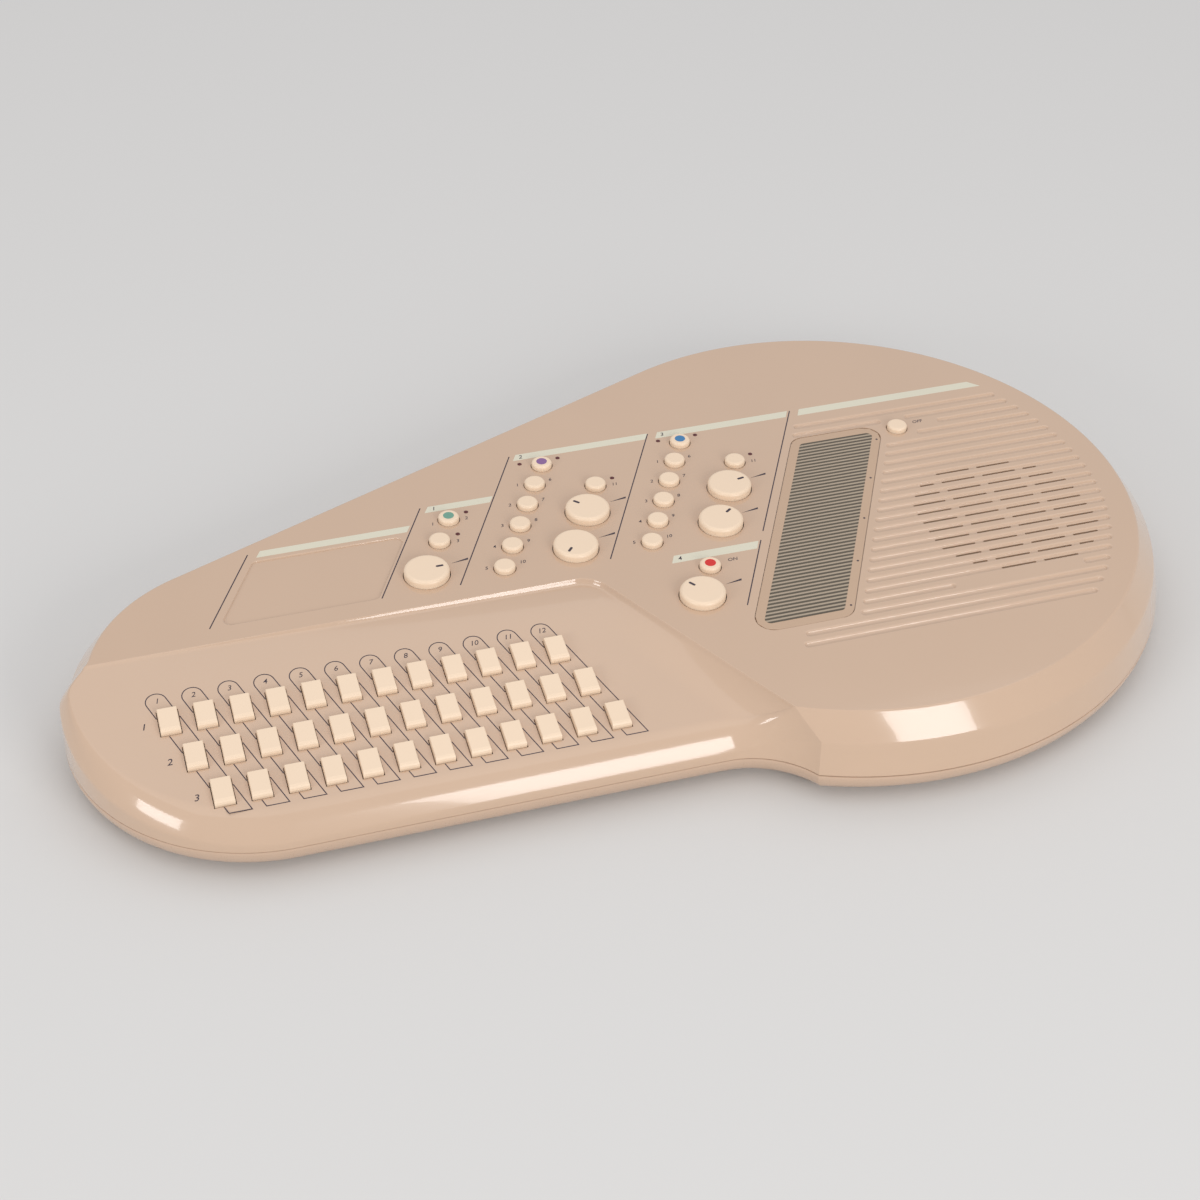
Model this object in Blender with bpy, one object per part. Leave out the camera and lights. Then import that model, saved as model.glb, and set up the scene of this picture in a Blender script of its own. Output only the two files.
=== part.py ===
"""Electronic autoharp: a two-shell plastic case with chord keys, knobs, buttons, a touch plate and a speaker.

Lengths are millimetres in the panel frame: its X runs along the instrument, its Y away from the player,
and Z = 0 is the flat top panel. One empty carries everything to its standing place, feet on Z = 0.
"""

import math

import bmesh
import bpy
from mathutils import Matrix, Vector

MM = 0.001

# Fits
GAP = 0.3                        # clearance between neighbouring pieces
WALL = 2.5                       # case wall

# Outline of the case at its joint, seen from above
ROUND_CENTRE = (144.0, 43.5)     # round end, over the speaker
ROUND_RADIUS = 177.0
TAIL_CENTRE = (-175.0, -0.8)     # narrow end, left of the chord keys
TAIL_RADIUS = 97.7
WAIST_START_X = 35.0             # where the near edge turns outward to the round end
WAIST_RADIUS = 47.0

# Heights from the top panel
SEAM_Z = -31.5                   # joint between the two shells
BASE_DROP = 13.7                 # depth of the lower shell
FOOT_HEIGHT = 3.5

# Edge of the top shell: a chamfer round the panel, a rolled edge beside the chord keys
CHAMFER_INSET = 11.0
CHAMFER_DROP = 13.6
WALL_DRAFT = 4.5                 # how far the wall leans in between joint and chamfer
EDGE_SOFTENING = 1.4
ROLL_INSET = 13.0

# The sharp corner where the waist meets the round end, up its length: height, then x and y
CORNER_LINE = ((SEAM_Z, 75.0, -120.5), (-13.6, 76.5, -116.4), (-6.0, 71.3, -109.5), (0.0, 67.2, -102.3))
CORNER_REACH = 12                # stations of the round end over which its edge eases into the corner

# Chord area: a recess that slopes down towards the player
CREASE_Y = 20.0
CREASE_DROP = 1.2
CREASE_RUN = 4.0
CHORD_SLOPE = math.radians(7.7)
CREASE_BEND_X = -8.7
CREASE_BEND_RADIUS = 18.0
FOLD_BACK = 5.0                  # the soft fold ends this far before the waist

# Chord keys, laid out in the sloping plane
KEY_COLUMNS = 12
KEY_ROWS = 3
KEY_PITCH = 17.5
KEY_ROW_PITCH = 24.05
KEY_WIDTH = 9.8
KEY_DEPTH = 15.0
KEY_HEIGHT = 3.2
KEY_TRAVEL = 2.0
KEY_FLANGE = 1.6                 # how much wider a key is below the panel
KEY_FLANGE_TOP = -3.3
KEY_FLANGE_THICKNESS = 1.2
KEY_FRONT_CUT = 0.6              # the flange's near edge stays this much closer to the cap
KEY_STEM_WIDTH = 6.0
KEY_STEM_DEPTH = 10.0
KEY_BOTTOM = -6.3
FIRST_KEY_X = -222.4
FIRST_KEY_BACK = 40.9            # down the slope from the crease

# Control panel: everything leans with the same slant
SLANT = math.radians(27.43)
KNOB_RADIUS = 11.9
KNOB_HEIGHT = 4.4
KNOB_SKIRT = 3.5                 # below the panel
SPINDLE_RADIUS = 3.0
BUTTON_RADIUS = 5.6
BUTTON_FLANGE_RADIUS = 7.0
BUTTON_HEIGHT = 3.0
BUTTON_BOTTOM_Z = -4.0
BUTTON_TRAVEL = 1.5
BUTTON_ROUNDING = 0.6
STRIP_WIDTH = 6.0
STRIP_SETBACK = 0.2              # the strip stays this far inside the caps' flanges, above and below
COLUMN_PITCH = 16.35             # between the buttons of a column, away from the player
CHORD_COLUMN_PITCH = 17.5
KNOB_ROW_Y = 43.9
KNOB_ROW_PITCH = 28.4
SWITCH_ROW_Y = 93.8
CHORD_KNOB_X = -79.9
RHYTHM_KNOB_X = 0.0
VOICE_KNOB_X = 80.3
CHORD_COLUMN = (-67.3, 68.4)
RHYTHM_COLUMN = (-40.0, 37.9)
VOICE_COLUMN = (40.0, 37.9)
RHYTHM_SWITCH_X = 25.6
VOICE_SWITCH_X = 105.8
MASTER_KNOB = (51.4, -11.0)
POWER_BUTTON = (62.7, 10.1)
PROMPT_BUTTON = (205.1, 100.2)

# Touch plate and name recess
PLATE_NEAR = (92.4, -46.5)       # middle of its near edge
PLATE_WIDTH = 54.8
PLATE_LENGTH = 152.5             # measured straight across the panel
PLATE_CORNER = 9.0
PLATE_THICKNESS = 0.8
PLATE_TOP_Z = -0.1
RECESS_NEAR = (-148.2, 31.8)
RECESS_WIDTH = 81.0
RECESS_LENGTH = 47.0
RECESS_CORNER = 4.0
RECESS_DEPTH = 0.6

# Grille: equal grooves, slotted through over the speaker
GROOVES = 24
GROOVE_PITCH = 7.745
FIRST_GROOVE_Y = 116.7
GROOVE_WIDTH = 3.0
GROOVE_FLOOR = 1.6
GROOVE_DEPTH = 1.2
GROOVE_MARGIN = 13.5             # from the groove ends to the panel's rim
PLATE_TO_GROOVE = 4.7
NEAR_GROOVE_SHIFT = 30.7         # grooves nearer than the plate start this far right of its left edge
SPEAKER_CENTRE = (231.4, 12.1)

# Grooves of single rows that start beside the prompt button, or part round it or round a bare patch
GROOVE_STARTS = {3: PROMPT_BUTTON[0] + 25.4, 4: PROMPT_BUTTON[0] + 9.7}
GROOVE_BREAKS = {2: (PROMPT_BUTTON[0] - 6.4, PROMPT_BUTTON[0] + 8.5),
                 21: (SPEAKER_CENTRE[0] - 51.9, SPEAKER_CENTRE[0] + 21.5)}
SLOT_FIELD_RADIUS = 49.3
SLOT_WIDTH = 1.1
SLOT_PITCH = 24.25
SLOT_BRIDGE = 4.4
SHORTEST_SLOT = 3.0
SPEAKER_RADIUS = 52.0
SPEAKER_RIM_THICKNESS = 2.2
SPEAKER_RIM_Z = -WALL - GAP
SPEAKER_DEPTH = 31.0
SPEAKER_SEAT_RADIUS = 47.0       # inside of the rim, where the basket begins
CONE_RADIUS = 46.0
SURROUND_RADIUS = 43.0
DUST_CAP_RADIUS = 10.0
DUST_CAP_Z = -12.0
CONE_BACK_Z = -18.5
BASKET_NECK_RADIUS = 12.0
BASKET_NECK_Z = -20.0
MAGNET_RADIUS = 30.0
MAGNET_TOP_Z = -22.0
CLIP_WIDTH = 8.0
CLIP_THICKNESS = 2.0
CLIP_TIP = 1.4

# Boards and batteries
BOARD_THICKNESS = 1.6
BOARD_TOP_Z = -14.5
SWITCH_SIDE = 12.0
SWITCH_HEIGHT = 4.3
PLUNGER_SIDE = 3.6
POT_RADIUS = 8.5
POT_TOP_Z = -8.0
KEY_BOARD_DEPTH = 12.0           # below the chord panel
DOME_RADIUS = 4.5
DOME_SHEET_THICKNESS = 1.0
DOME_DRAFT = 1.5
ROOTED = 0.5                     # how far a part that grows from a board or sheet starts inside it
POT_COLLAR = 1.2                 # wall of the collar round a spindle
SPINDLE_REACH = 1.0              # how far a spindle reaches into its potentiometer
CELL_RADIUS = 7.1
CELL_LENGTH = 50.5
CELL_NIB = 1.5
CELL_NIB_RADIUS = 2.7
CELL_ROWS = 4
HOLDER_THICKNESS = 1.2
TRAY_CENTRE = (-20.0, 66.0)
TRAY_LENGTH = 108.0
TRAY_WIDTH = 60.5
TRAY_WALL = 3.0
DOOR_THICKNESS = 2.0
TAB_LENGTH = 10.0
TAB_WIDTH = 16.0
DOOR_LEDGE = 2.0

# Bottom shell from the base up its outside and down its inside: inset from the outline, height above the base
BOTTOM_OUTSIDE = ((13.0, 0.0), (6.8, 1.5), (2.4, 5.5), (0.4, 10.0), (0.0, BASE_DROP))
BOTTOM_INSIDE = ((WALL, BASE_DROP), (WALL + 0.4, 10.0), (WALL + 2.4, 6.5), (13.0, WALL))

# Hardware
POST_RADIUS = 3.5
BOSS_RADIUS = 4.5
SCREW_RADIUS = 1.5
SCREW_HEAD_RADIUS = 3.0
SCREW_RECESS = 5.0
SCREW_CIRCLE = 150.0             # case screws round the round end
SCREW_BORE_DEPTH = 9.0
BOARD_BORE_DEPTH = 6.0
DOOR_BOSS = 10.0
HOOK = 1.5                       # how far the speaker's clips reach under its rim
FOOT_RADIUS = 8.0
SOCKET_BARREL = 5.0
SOCKET_BODY = 12.0
SOCKET_BODY_RADIUS = 6.0
SOCKET_PROUD = 1.0               # the barrels stand this far out of the niche's floor
SOCKET_END = 4.0                 # closed end of a socket's bore
SOCKET_DEPTH = 15.0
SOCKET_PITCH = 22.0
SOCKET_BORES = (2.8, 3.3, 1.9)   # power inlet, line out and headphones
INLET_PIN = 1.0
SOCKET_Z = -22.5
NICHE_WIDTH = 66.0               # flat-bottomed niche in the far wall that holds the sockets
NICHE_HEIGHT = 12.5
NICHE_DEPTH = 8.5                # from the round end's far point
NICHE_ARC_STEPS = 8

# What follows from the sizes above
NEAR_Y = TAIL_CENTRE[1] - TAIL_RADIUS
FAR_Y = ROUND_CENTRE[1] + ROUND_RADIUS
LEFT_X = TAIL_CENTRE[0] - TAIL_RADIUS
RIGHT_X = ROUND_CENTRE[0] + ROUND_RADIUS
BASE_Z = SEAM_Z - GAP - BASE_DROP
FLOOR_Z = BASE_Z - FOOT_HEIGHT
PANEL_ROOT_Z = -1.9              # posts end inside the panel, below its grooves
NICHE_Y = FAR_Y - NICHE_DEPTH
DOOR_LENGTH = TRAY_LENGTH + 2 * DOOR_LEDGE
DOOR_WIDTH = TRAY_WIDTH + 2 * DOOR_LEDGE
DOOR_TOP_Z = BASE_Z + DOOR_THICKNESS
TRAY_TOP_Z = DOOR_TOP_Z + 2 * CELL_RADIUS + 2 * GAP + WALL
TAB_CENTRE = (TRAY_CENTRE[0], TRAY_CENTRE[1] - DOOR_WIDTH / 2 - TAB_LENGTH / 2)
PANEL_INSET = CHAMFER_INSET + WALL_DRAFT
WAIST_CENTRE = (WAIST_START_X, NEAR_Y - WAIST_RADIUS)
CHORD_START_Y = CREASE_Y - CREASE_RUN
FOLD_X = WAIST_START_X - FOLD_BACK

ROUND_STEPS = 36
TAIL_FAR_STEPS = 7
TAIL_NEAR_STEPS = 14
WAIST_STEPS = 5
BEND_STEPS = 4
FOLD_STEPS = 4
KNOB_SIDES = 20
BUTTON_SIDES = 12
POST_SIDES = 8
SCREW_SIDES = 6
SOCKET_SIDES = 10
THROUGH = 2.0                    # how far cutters run past the faces they open


def clear_scene():
    for item in list(bpy.data.objects):
        bpy.data.objects.remove(item, do_unlink=True)
    for mesh in list(bpy.data.meshes):
        bpy.data.meshes.remove(mesh)


def plastic(name, colour, roughness, metallic=0.0):
    material = bpy.data.materials.new(name)
    material.use_nodes = True
    shader = material.node_tree.nodes["Principled BSDF"]
    shader.inputs["Base Color"].default_value = (*colour, 1.0)
    shader.inputs["Roughness"].default_value = roughness
    shader.inputs["Metallic"].default_value = metallic
    return material


def empty(name, parent=None, location=(0, 0, 0), tilt=0.0):
    frame = bpy.data.objects.new(name, None)
    frame.parent = parent
    frame.location = Vector(location) * MM
    frame.rotation_euler.x = tilt
    bpy.context.scene.collection.objects.link(frame)
    return frame


def add_object(name, bm, parent, material=None, location=(0, 0, 0), smooth=False):
    """Make a named object from a mesh drawn in millimetres."""
    bmesh.ops.recalc_face_normals(bm, faces=bm.faces[:])
    bmesh.ops.scale(bm, vec=(MM, MM, MM), verts=bm.verts[:])
    mesh = bpy.data.meshes.new(name)
    bm.to_mesh(mesh)
    bm.free()
    if material:
        mesh.materials.append(material)
    if smooth:
        mesh.shade_smooth()
        mesh.set_sharp_from_angle(angle=math.radians(35))
    part = bpy.data.objects.new(name, mesh)
    part.parent = parent
    part.location = Vector(location) * MM
    bpy.context.scene.collection.objects.link(part)
    return part


def as_tool(part):
    """Mark an object as a cutter or an addition: used by a Boolean, never part of the model."""
    part.hide_render = True
    part.display_type = "WIRE"
    return part


def boolean(part, tool, operation="DIFFERENCE"):
    modifier = part.modifiers.new(tool.name, "BOOLEAN")
    modifier.object = as_tool(tool)
    modifier.operation = operation
    modifier.solver = "EXACT"


def bridge(bm, lower, upper):
    """Close the band between two loops of as many vertices."""
    for i in range(len(lower)):
        j = (i + 1) % len(lower)
        bm.faces.new((lower[i], lower[j], upper[j], upper[i]))


def add_loft(bm, loops, place=Matrix()):
    """A closed body through stacked loops of points, the lowest first."""
    rings = [[bm.verts.new(place @ Vector(point)) for point in loop] for loop in loops]
    for lower, upper in zip(rings, rings[1:]):
        bridge(bm, lower, upper)
    bm.faces.new(reversed(rings[0]))
    bm.faces.new(rings[-1])


def add_prism(bm, outline, low, high, place=Matrix()):
    add_loft(bm, [[(x, y, z) for x, y in outline] for z in (low, high)], place)


def rectangle(centre, width, length):
    x, y = centre
    return [(x - width / 2, y - length / 2), (x + width / 2, y - length / 2),
            (x + width / 2, y + length / 2), (x - width / 2, y + length / 2)]


def circle(centre, radius, count, start=0.0):
    turn = 2 * math.pi / count
    return [(centre[0] + radius * math.cos(start + i * turn),
             centre[1] + radius * math.sin(start + i * turn)) for i in range(count)]


def add_cylinder(bm, centre, radius, low, high, count, place=Matrix()):
    add_prism(bm, circle(centre, radius, count), low, high, place)


def add_turned(bm, profile, count, place=Matrix()):
    """Revolve (radius, z) points about an axis that place puts in position; it starts and ends on the axis."""
    rings = []
    for radius, z in profile:
        points = circle((0, 0), radius, count) if radius else [(0, 0)]
        rings.append([bm.verts.new(place @ Vector((x, y, z))) for x, y in points])
    for first, second in zip(rings, rings[1:]):
        for i in range(count):
            j = (i + 1) % count
            corners = [first[i % len(first)], first[j % len(first)]]
            corners += [second[j % len(second)], second[i % len(second)]]
            bm.faces.new(list(dict.fromkeys(corners)))


def slanted(x, y, rise):
    """The point reached from (x, y) by following the panel's slant up by rise."""
    return (x + rise * math.tan(SLANT), y + rise)


def rounded_outline(corners, radius, steps=3):
    """An outline whose corners are rounded with arcs that touch both sides."""
    points = []
    count = len(corners)
    for i in range(count):
        corner = Vector(corners[i])
        to_last = (Vector(corners[i - 1]) - corner).normalized()
        to_next = (Vector(corners[(i + 1) % count]) - corner).normalized()
        half = to_last.angle(to_next) / 2
        centre = corner + (to_last + to_next).normalized() * radius / math.sin(half)
        start = corner + to_last * radius / math.tan(half) - centre
        sweep = start.angle_signed(corner + to_next * radius / math.tan(half) - centre)
        for k in range(steps + 1):
            points.append(centre + Matrix.Rotation(-sweep * k / steps, 2) @ start)
    return [(point.x, point.y) for point in points]


def leaning_panel(near, width, length, corner, grow=0.0):
    """Outline of a panel that leans with the slant; near is the middle of its near edge."""
    near_x, near_y = near[0] - grow * math.tan(SLANT), near[1] - grow
    side = grow / math.cos(SLANT)
    rise = length + 2 * grow
    corners = [(near_x - width / 2 - side, near_y), (near_x + width / 2 + side, near_y)]
    corners += [slanted(near_x + width / 2 + side, near_y, rise), slanted(near_x - width / 2 - side, near_y, rise)]
    return rounded_outline(corners, corner + grow)


# Outline and top surface of the case

def far_angle():
    """Direction of the straight far edge's normal, the common tangent of the two end circles."""
    dx = ROUND_CENTRE[0] - TAIL_CENTRE[0]
    dy = ROUND_CENTRE[1] - TAIL_CENTRE[1]
    lean = math.asin((ROUND_RADIUS - TAIL_RADIUS) / math.hypot(dx, dy))
    return math.atan2(dy, dx) + lean + math.pi / 2


def corner_point(z, inset):
    """The waist corner at a height, moved into the case by inset from both of its walls."""
    for low, high in zip(CORNER_LINE, CORNER_LINE[1:]):
        if z <= high[0]:
            break
    share = (z - low[0]) / (high[0] - low[0])
    corner = Vector(low[1:]).lerp(Vector(high[1:]), share)
    inward = (Vector(ROUND_CENTRE) - corner).normalized()
    aside = (corner - Vector(WAIST_CENTRE)).normalized()
    return corner + (inward + aside) * inset / (1 + inward.dot(aside))


def polar(point, centre):
    """Distance and direction of a point from a centre."""
    dx, dy = point[0] - centre[0], point[1] - centre[1]
    return math.hypot(dx, dy), math.atan2(dy, dx)


def from_centre(centre, radius, angle, z):
    return (centre[0] + radius * math.cos(angle), centre[1] + radius * math.sin(angle), z)


def round_stations(corner, radius, z):
    """The round end of one loop, from the waist corner to where the straight far edge begins."""
    reach, start = polar(corner, ROUND_CENTRE)
    points = []
    for i in range(ROUND_STEPS + 1):
        ease = max(0.0, 1 - i / CORNER_REACH) ** 2
        angle = start + (far_angle() - start) * i / ROUND_STEPS
        points.append(from_centre(ROUND_CENTRE, radius + (reach - radius) * ease, angle, z))
    return points


def chord_z(y):
    """Height of the chord area at a distance from the player: flat, then the crease, then the slope."""
    if y >= CREASE_Y:
        return 0.0
    if y >= CHORD_START_Y:
        return -CREASE_DROP * (CREASE_Y - y) / CREASE_RUN
    return -CREASE_DROP - (CHORD_START_Y - y) * math.tan(CHORD_SLOPE)


def roll_inset(shrink):
    """How far the rolled edge runs in; a little less on the inside keeps its wall from thickening."""
    return ROLL_INSET - 0.6 * shrink


def tail_angles(shrink):
    """Directions of the tail's stations; two of them lie on the crease, on the edge's inner line."""
    inner = TAIL_RADIUS - roll_inset(shrink) - shrink
    crease = math.pi - math.asin((CREASE_Y - TAIL_CENTRE[1]) / inner)
    chord = math.pi - math.asin((CHORD_START_Y - TAIL_CENTRE[1]) / inner)
    far = far_angle()
    near = 1.5 * math.pi
    angles = [(far + (crease - far) * i / TAIL_FAR_STEPS, 1 - i / TAIL_FAR_STEPS)
              for i in range(TAIL_FAR_STEPS + 1)]
    angles += [(chord + (near - chord) * i / TAIL_NEAR_STEPS, 0.0) for i in range(TAIL_NEAR_STEPS + 1)]
    return angles


def edge_levels():
    """The top shell's edge from the joint up: chamfer inset and z, then the rolled edge's share and rise."""
    soft = EDGE_SOFTENING
    slope = CHAMFER_DROP / CHAMFER_INSET
    chamfer = [(0.0, SEAM_Z), (WALL_DRAFT - 0.3 * soft, -CHAMFER_DROP - soft),
               (WALL_DRAFT + 0.6 * soft, -CHAMFER_DROP + 0.6 * soft * slope),
               (PANEL_INSET - soft, -0.6 * soft * slope), (PANEL_INSET + 0.3 * soft, 0.0)]
    levels = []
    for i, (inset, z) in enumerate(chamfer):
        turn = 0.5 * math.pi * i / (len(chamfer) - 1)
        levels.append((inset, z, 1 - math.cos(turn), math.sin(turn)))
    return levels


def case_ring(level, shrink, drop):
    """One loop round the top shell, from the waist corner round the far side and back to the waist."""
    inset, z, roll_share, rise = level
    rolled = roll_inset(shrink) * roll_share
    corner = corner_point(z, shrink)
    z = max(z - drop, SEAM_Z)

    def rolled_z(top_z):
        return SEAM_Z + (top_z - drop - SEAM_Z) * rise

    points = round_stations(corner, ROUND_RADIUS - inset - shrink, z)
    for angle, share in tail_angles(shrink):
        top_y = TAIL_CENTRE[1] + (TAIL_RADIUS - roll_inset(shrink) - shrink) * math.sin(angle)
        radius = TAIL_RADIUS - shrink - share * inset - (1 - share) * rolled
        point_z = share * z + (1 - share) * rolled_z(chord_z(top_y))
        points.append(from_centre(TAIL_CENTRE, radius, angle, point_z))
    near_top = chord_z(NEAR_Y + roll_inset(shrink) + shrink)
    points.append((FOLD_X, NEAR_Y + rolled + shrink, rolled_z(near_top)))
    reach, stop = polar(corner, WAIST_CENTRE)
    for i in range(WAIST_STEPS):
        share = i / WAIST_STEPS
        angle = math.pi / 2 + (stop - math.pi / 2) * share
        radius = (WAIST_RADIUS + shrink + rolled) * (1 - share) + reach * share
        x = WAIST_CENTRE[0] + radius * math.cos(angle)
        climb = near_top * (1 - (x - FOLD_X) / (CORNER_LINE[-1][1] - FOLD_X))
        point_z = (1 - share) * rolled_z(min(0.0, climb)) + share * z
        points.append(from_centre(WAIST_CENTRE, radius, angle, point_z))
    return points


def add_case_skin(bm, shrink, drop):
    """The top shell's outer skin, or its inner one when shrunk: edge bands and top surface. Returns its rim."""
    rings = []
    for level in edge_levels():
        rings.append([bm.verts.new(point) for point in case_ring(level, shrink, drop)])
    for lower, upper in zip(rings, rings[1:]):
        bridge(bm, lower, upper)
    top = rings[-1]
    crease = ROUND_STEPS + 1 + TAIL_FAR_STEPS
    fold = crease + TAIL_NEAR_STEPS + 2

    bend_y = CREASE_Y - CREASE_BEND_RADIUS
    corner = top[0].co
    reach = math.hypot(corner.y - bend_y, corner.x - CREASE_BEND_X)
    touch = math.atan2(corner.y - bend_y, corner.x - CREASE_BEND_X) + math.acos(CREASE_BEND_RADIUS / reach)
    line = []
    for i in range(BEND_STEPS + 1):
        angle = math.pi / 2 + (touch - math.pi / 2) * i / BEND_STEPS
        line.append(Vector((CREASE_BEND_X + CREASE_BEND_RADIUS * math.cos(angle),
                            bend_y + CREASE_BEND_RADIUS * math.sin(angle), -drop)))
    bend_end = line[-1]
    line += [bend_end.lerp(corner, i / FOLD_STEPS) for i in range(1, FOLD_STEPS)]
    crest = [bm.verts.new(point) for point in line] + [top[0]]

    valley = []
    for i in range(FOLD_STEPS):
        share = i / FOLD_STEPS
        x = CREASE_BEND_X + (top[fold].co.x - CREASE_BEND_X) * share
        y = CHORD_START_Y + (top[fold].co.y - CHORD_START_Y) * share
        valley.append(bm.verts.new((x, y, chord_z(y) - drop)))
    valley.append(top[fold])

    bm.faces.new(top[:crease + 1] + crest[:-1])
    bm.faces.new((top[crease], top[crease + 1], valley[0], crest[0]))
    bm.faces.new(top[crease + 1:fold + 1] + valley[-2::-1])
    for i in range(BEND_STEPS):
        bm.faces.new((valley[0], crest[i + 1], crest[i]))
    for i in range(FOLD_STEPS):
        far, next_far = crest[BEND_STEPS + i], crest[BEND_STEPS + i + 1]
        bm.faces.new((valley[i], valley[i + 1], far))
        if next_far is not crest[-1]:
            bm.faces.new((valley[i + 1], next_far, far))
    rim = top[fold:] + [top[0]]
    for near, next_near in zip(rim, rim[1:]):
        if next_near is not crest[-1]:
            bm.faces.new((near, next_near, crest[-2]))
    bm.faces.new((rim[-2], crest[-1], crest[-2]))
    return rings[0]


def lower_ring(inset, z):
    """One loop round the bottom shell, station for station like the top shell's."""
    corner = corner_point(SEAM_Z, inset)
    points = round_stations(corner, ROUND_RADIUS - inset, z)
    points += [from_centre(TAIL_CENTRE, TAIL_RADIUS - inset, angle, z) for angle, share in tail_angles(0)]
    points.append((FOLD_X, NEAR_Y + inset, z))
    reach, stop = polar(corner, WAIST_CENTRE)
    for i in range(WAIST_STEPS):
        share = i / WAIST_STEPS
        radius = (WAIST_RADIUS + inset) * (1 - share) + reach * share
        points.append(from_centre(WAIST_CENTRE, radius, math.pi / 2 + (stop - math.pi / 2) * share, z))
    return points


def groove_spans(row, y):
    """Where the groove of a row starts and stops: clear of the touch plate, inside the round end."""
    reach = ROUND_RADIUS - PANEL_INSET - GROOVE_MARGIN
    right = ROUND_CENTRE[0] + math.sqrt(reach ** 2 - (y - ROUND_CENTRE[1]) ** 2)
    along, margin = y - PLATE_NEAR[1], GAP + GROOVE_WIDTH / 2
    left = slanted(PLATE_NEAR[0] - PLATE_WIDTH / 2, PLATE_NEAR[1], along)[0]
    if along < -margin:
        left += NEAR_GROOVE_SHIFT
    elif along < PLATE_LENGTH + margin:
        left += PLATE_WIDTH + PLATE_TO_GROOVE
    left = max(left, GROOVE_STARTS.get(row, left))
    if row not in GROOVE_BREAKS:
        return [(left, right)]
    stop, restart = GROOVE_BREAKS[row]
    return [(start, end) for start, end in ((left, stop), (max(left, restart), right)) if end - start > GROOVE_WIDTH]


def stadium(left, right, y, half):
    """A long opening with round ends."""
    points = []
    for centre_x, start in ((right - half, -90), (left + half, 90)):
        for k in range(4):
            angle = math.radians(start + 60 * k)
            points.append((centre_x + half * math.cos(angle), y + half * math.sin(angle)))
    return points


def slot_spans(y):
    """The slots of one row: pieces of the round slot field, parted by bridges."""
    reach = math.sqrt(max(0.0, SLOT_FIELD_RADIUS ** 2 - (y - SPEAKER_CENTRE[1]) ** 2))
    spans = []
    for k in range(-2, 2):
        left = SPEAKER_CENTRE[0] + k * SLOT_PITCH + SLOT_BRIDGE / 2
        right = left + SLOT_PITCH - SLOT_BRIDGE
        left = max(left, SPEAKER_CENTRE[0] - reach)
        right = min(right, SPEAKER_CENTRE[0] + reach)
        if right - left > SHORTEST_SLOT:
            spans.append((left, right))
    return spans


def add_bar(bm, start, stop, half, low, high):
    """A flat bar between two spots of the panel."""
    along = (Vector(stop) - Vector(start)).normalized() * half
    side = Vector((-along.y, along.x))
    corners = [Vector(start) - side, Vector(stop) - side, Vector(stop) + side, Vector(start) + side]
    add_prism(bm, [tuple(corner) for corner in corners], low, high)


def facing_far(x, y, z):
    """Puts a turned piece in place with its axis pointing away from the player."""
    return Matrix.Translation((x, y, z)) @ Matrix.Rotation(-math.pi / 2, 4, "X")


def door_outline(grow):
    """The battery door with its screw tab."""
    half_x, half_y = DOOR_LENGTH / 2 + grow, DOOR_WIDTH / 2 + grow
    tab = TAB_WIDTH / 2 + grow
    x, y = TRAY_CENTRE
    near = y - half_y
    return [(x - half_x, near), (x - tab, near), (x - tab, near - TAB_LENGTH), (x + tab, near - TAB_LENGTH),
            (x + tab, near), (x + half_x, near), (x + half_x, y + half_y), (x - half_x, y + half_y)]


def column(start, pitch, count):
    """Buttons in a column that follows the panel's slant."""
    return [slanted(start[0], start[1], pitch * k) for k in range(count)]


clear_scene()
near_end = min(point[1] for point in lower_ring(0, SEAM_Z))
instrument = empty("instrument", None, (-(LEFT_X + RIGHT_X) / 2, -(near_end + FAR_Y) / 2, -FLOOR_Z))
chord_area = empty("chord_area", instrument, (0, CHORD_START_Y, -CREASE_DROP), CHORD_SLOPE)
CHORD_PLACE = Matrix.Translation((0, CHORD_START_Y, -CREASE_DROP)) @ Matrix.Rotation(CHORD_SLOPE, 4, "X")

key_places = []
for row in range(KEY_ROWS):
    for number in range(KEY_COLUMNS):
        x = FIRST_KEY_X + KEY_PITCH * (number + row / 2)
        key_places.append((row + 1, number + 1, x, -FIRST_KEY_BACK - KEY_ROW_PITCH * row))

knobs = {
    "chord_volume_knob": (CHORD_KNOB_X, KNOB_ROW_Y),
    "rhythm_volume_knob": (RHYTHM_KNOB_X, KNOB_ROW_Y),
    "tempo_knob": slanted(RHYTHM_KNOB_X, KNOB_ROW_Y, KNOB_ROW_PITCH),
    "voice_volume_knob": (VOICE_KNOB_X, KNOB_ROW_Y),
    "sustain_knob": slanted(VOICE_KNOB_X, KNOB_ROW_Y, KNOB_ROW_PITCH),
    "master_volume_knob": MASTER_KNOB,
}
button_groups = {
    "chord_mode_buttons": column(CHORD_COLUMN, CHORD_COLUMN_PITCH, 2),
    "rhythm_buttons": column(RHYTHM_COLUMN, COLUMN_PITCH, 6) + [(RHYTHM_SWITCH_X, SWITCH_ROW_Y)],
    "voice_buttons": column(VOICE_COLUMN, COLUMN_PITCH, 6) + [(VOICE_SWITCH_X, SWITCH_ROW_Y)],
    "power_button": [POWER_BUTTON],
    "prompt_button": [PROMPT_BUTTON],
}
button_places = [spot for group in button_groups.values() for spot in group]

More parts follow.
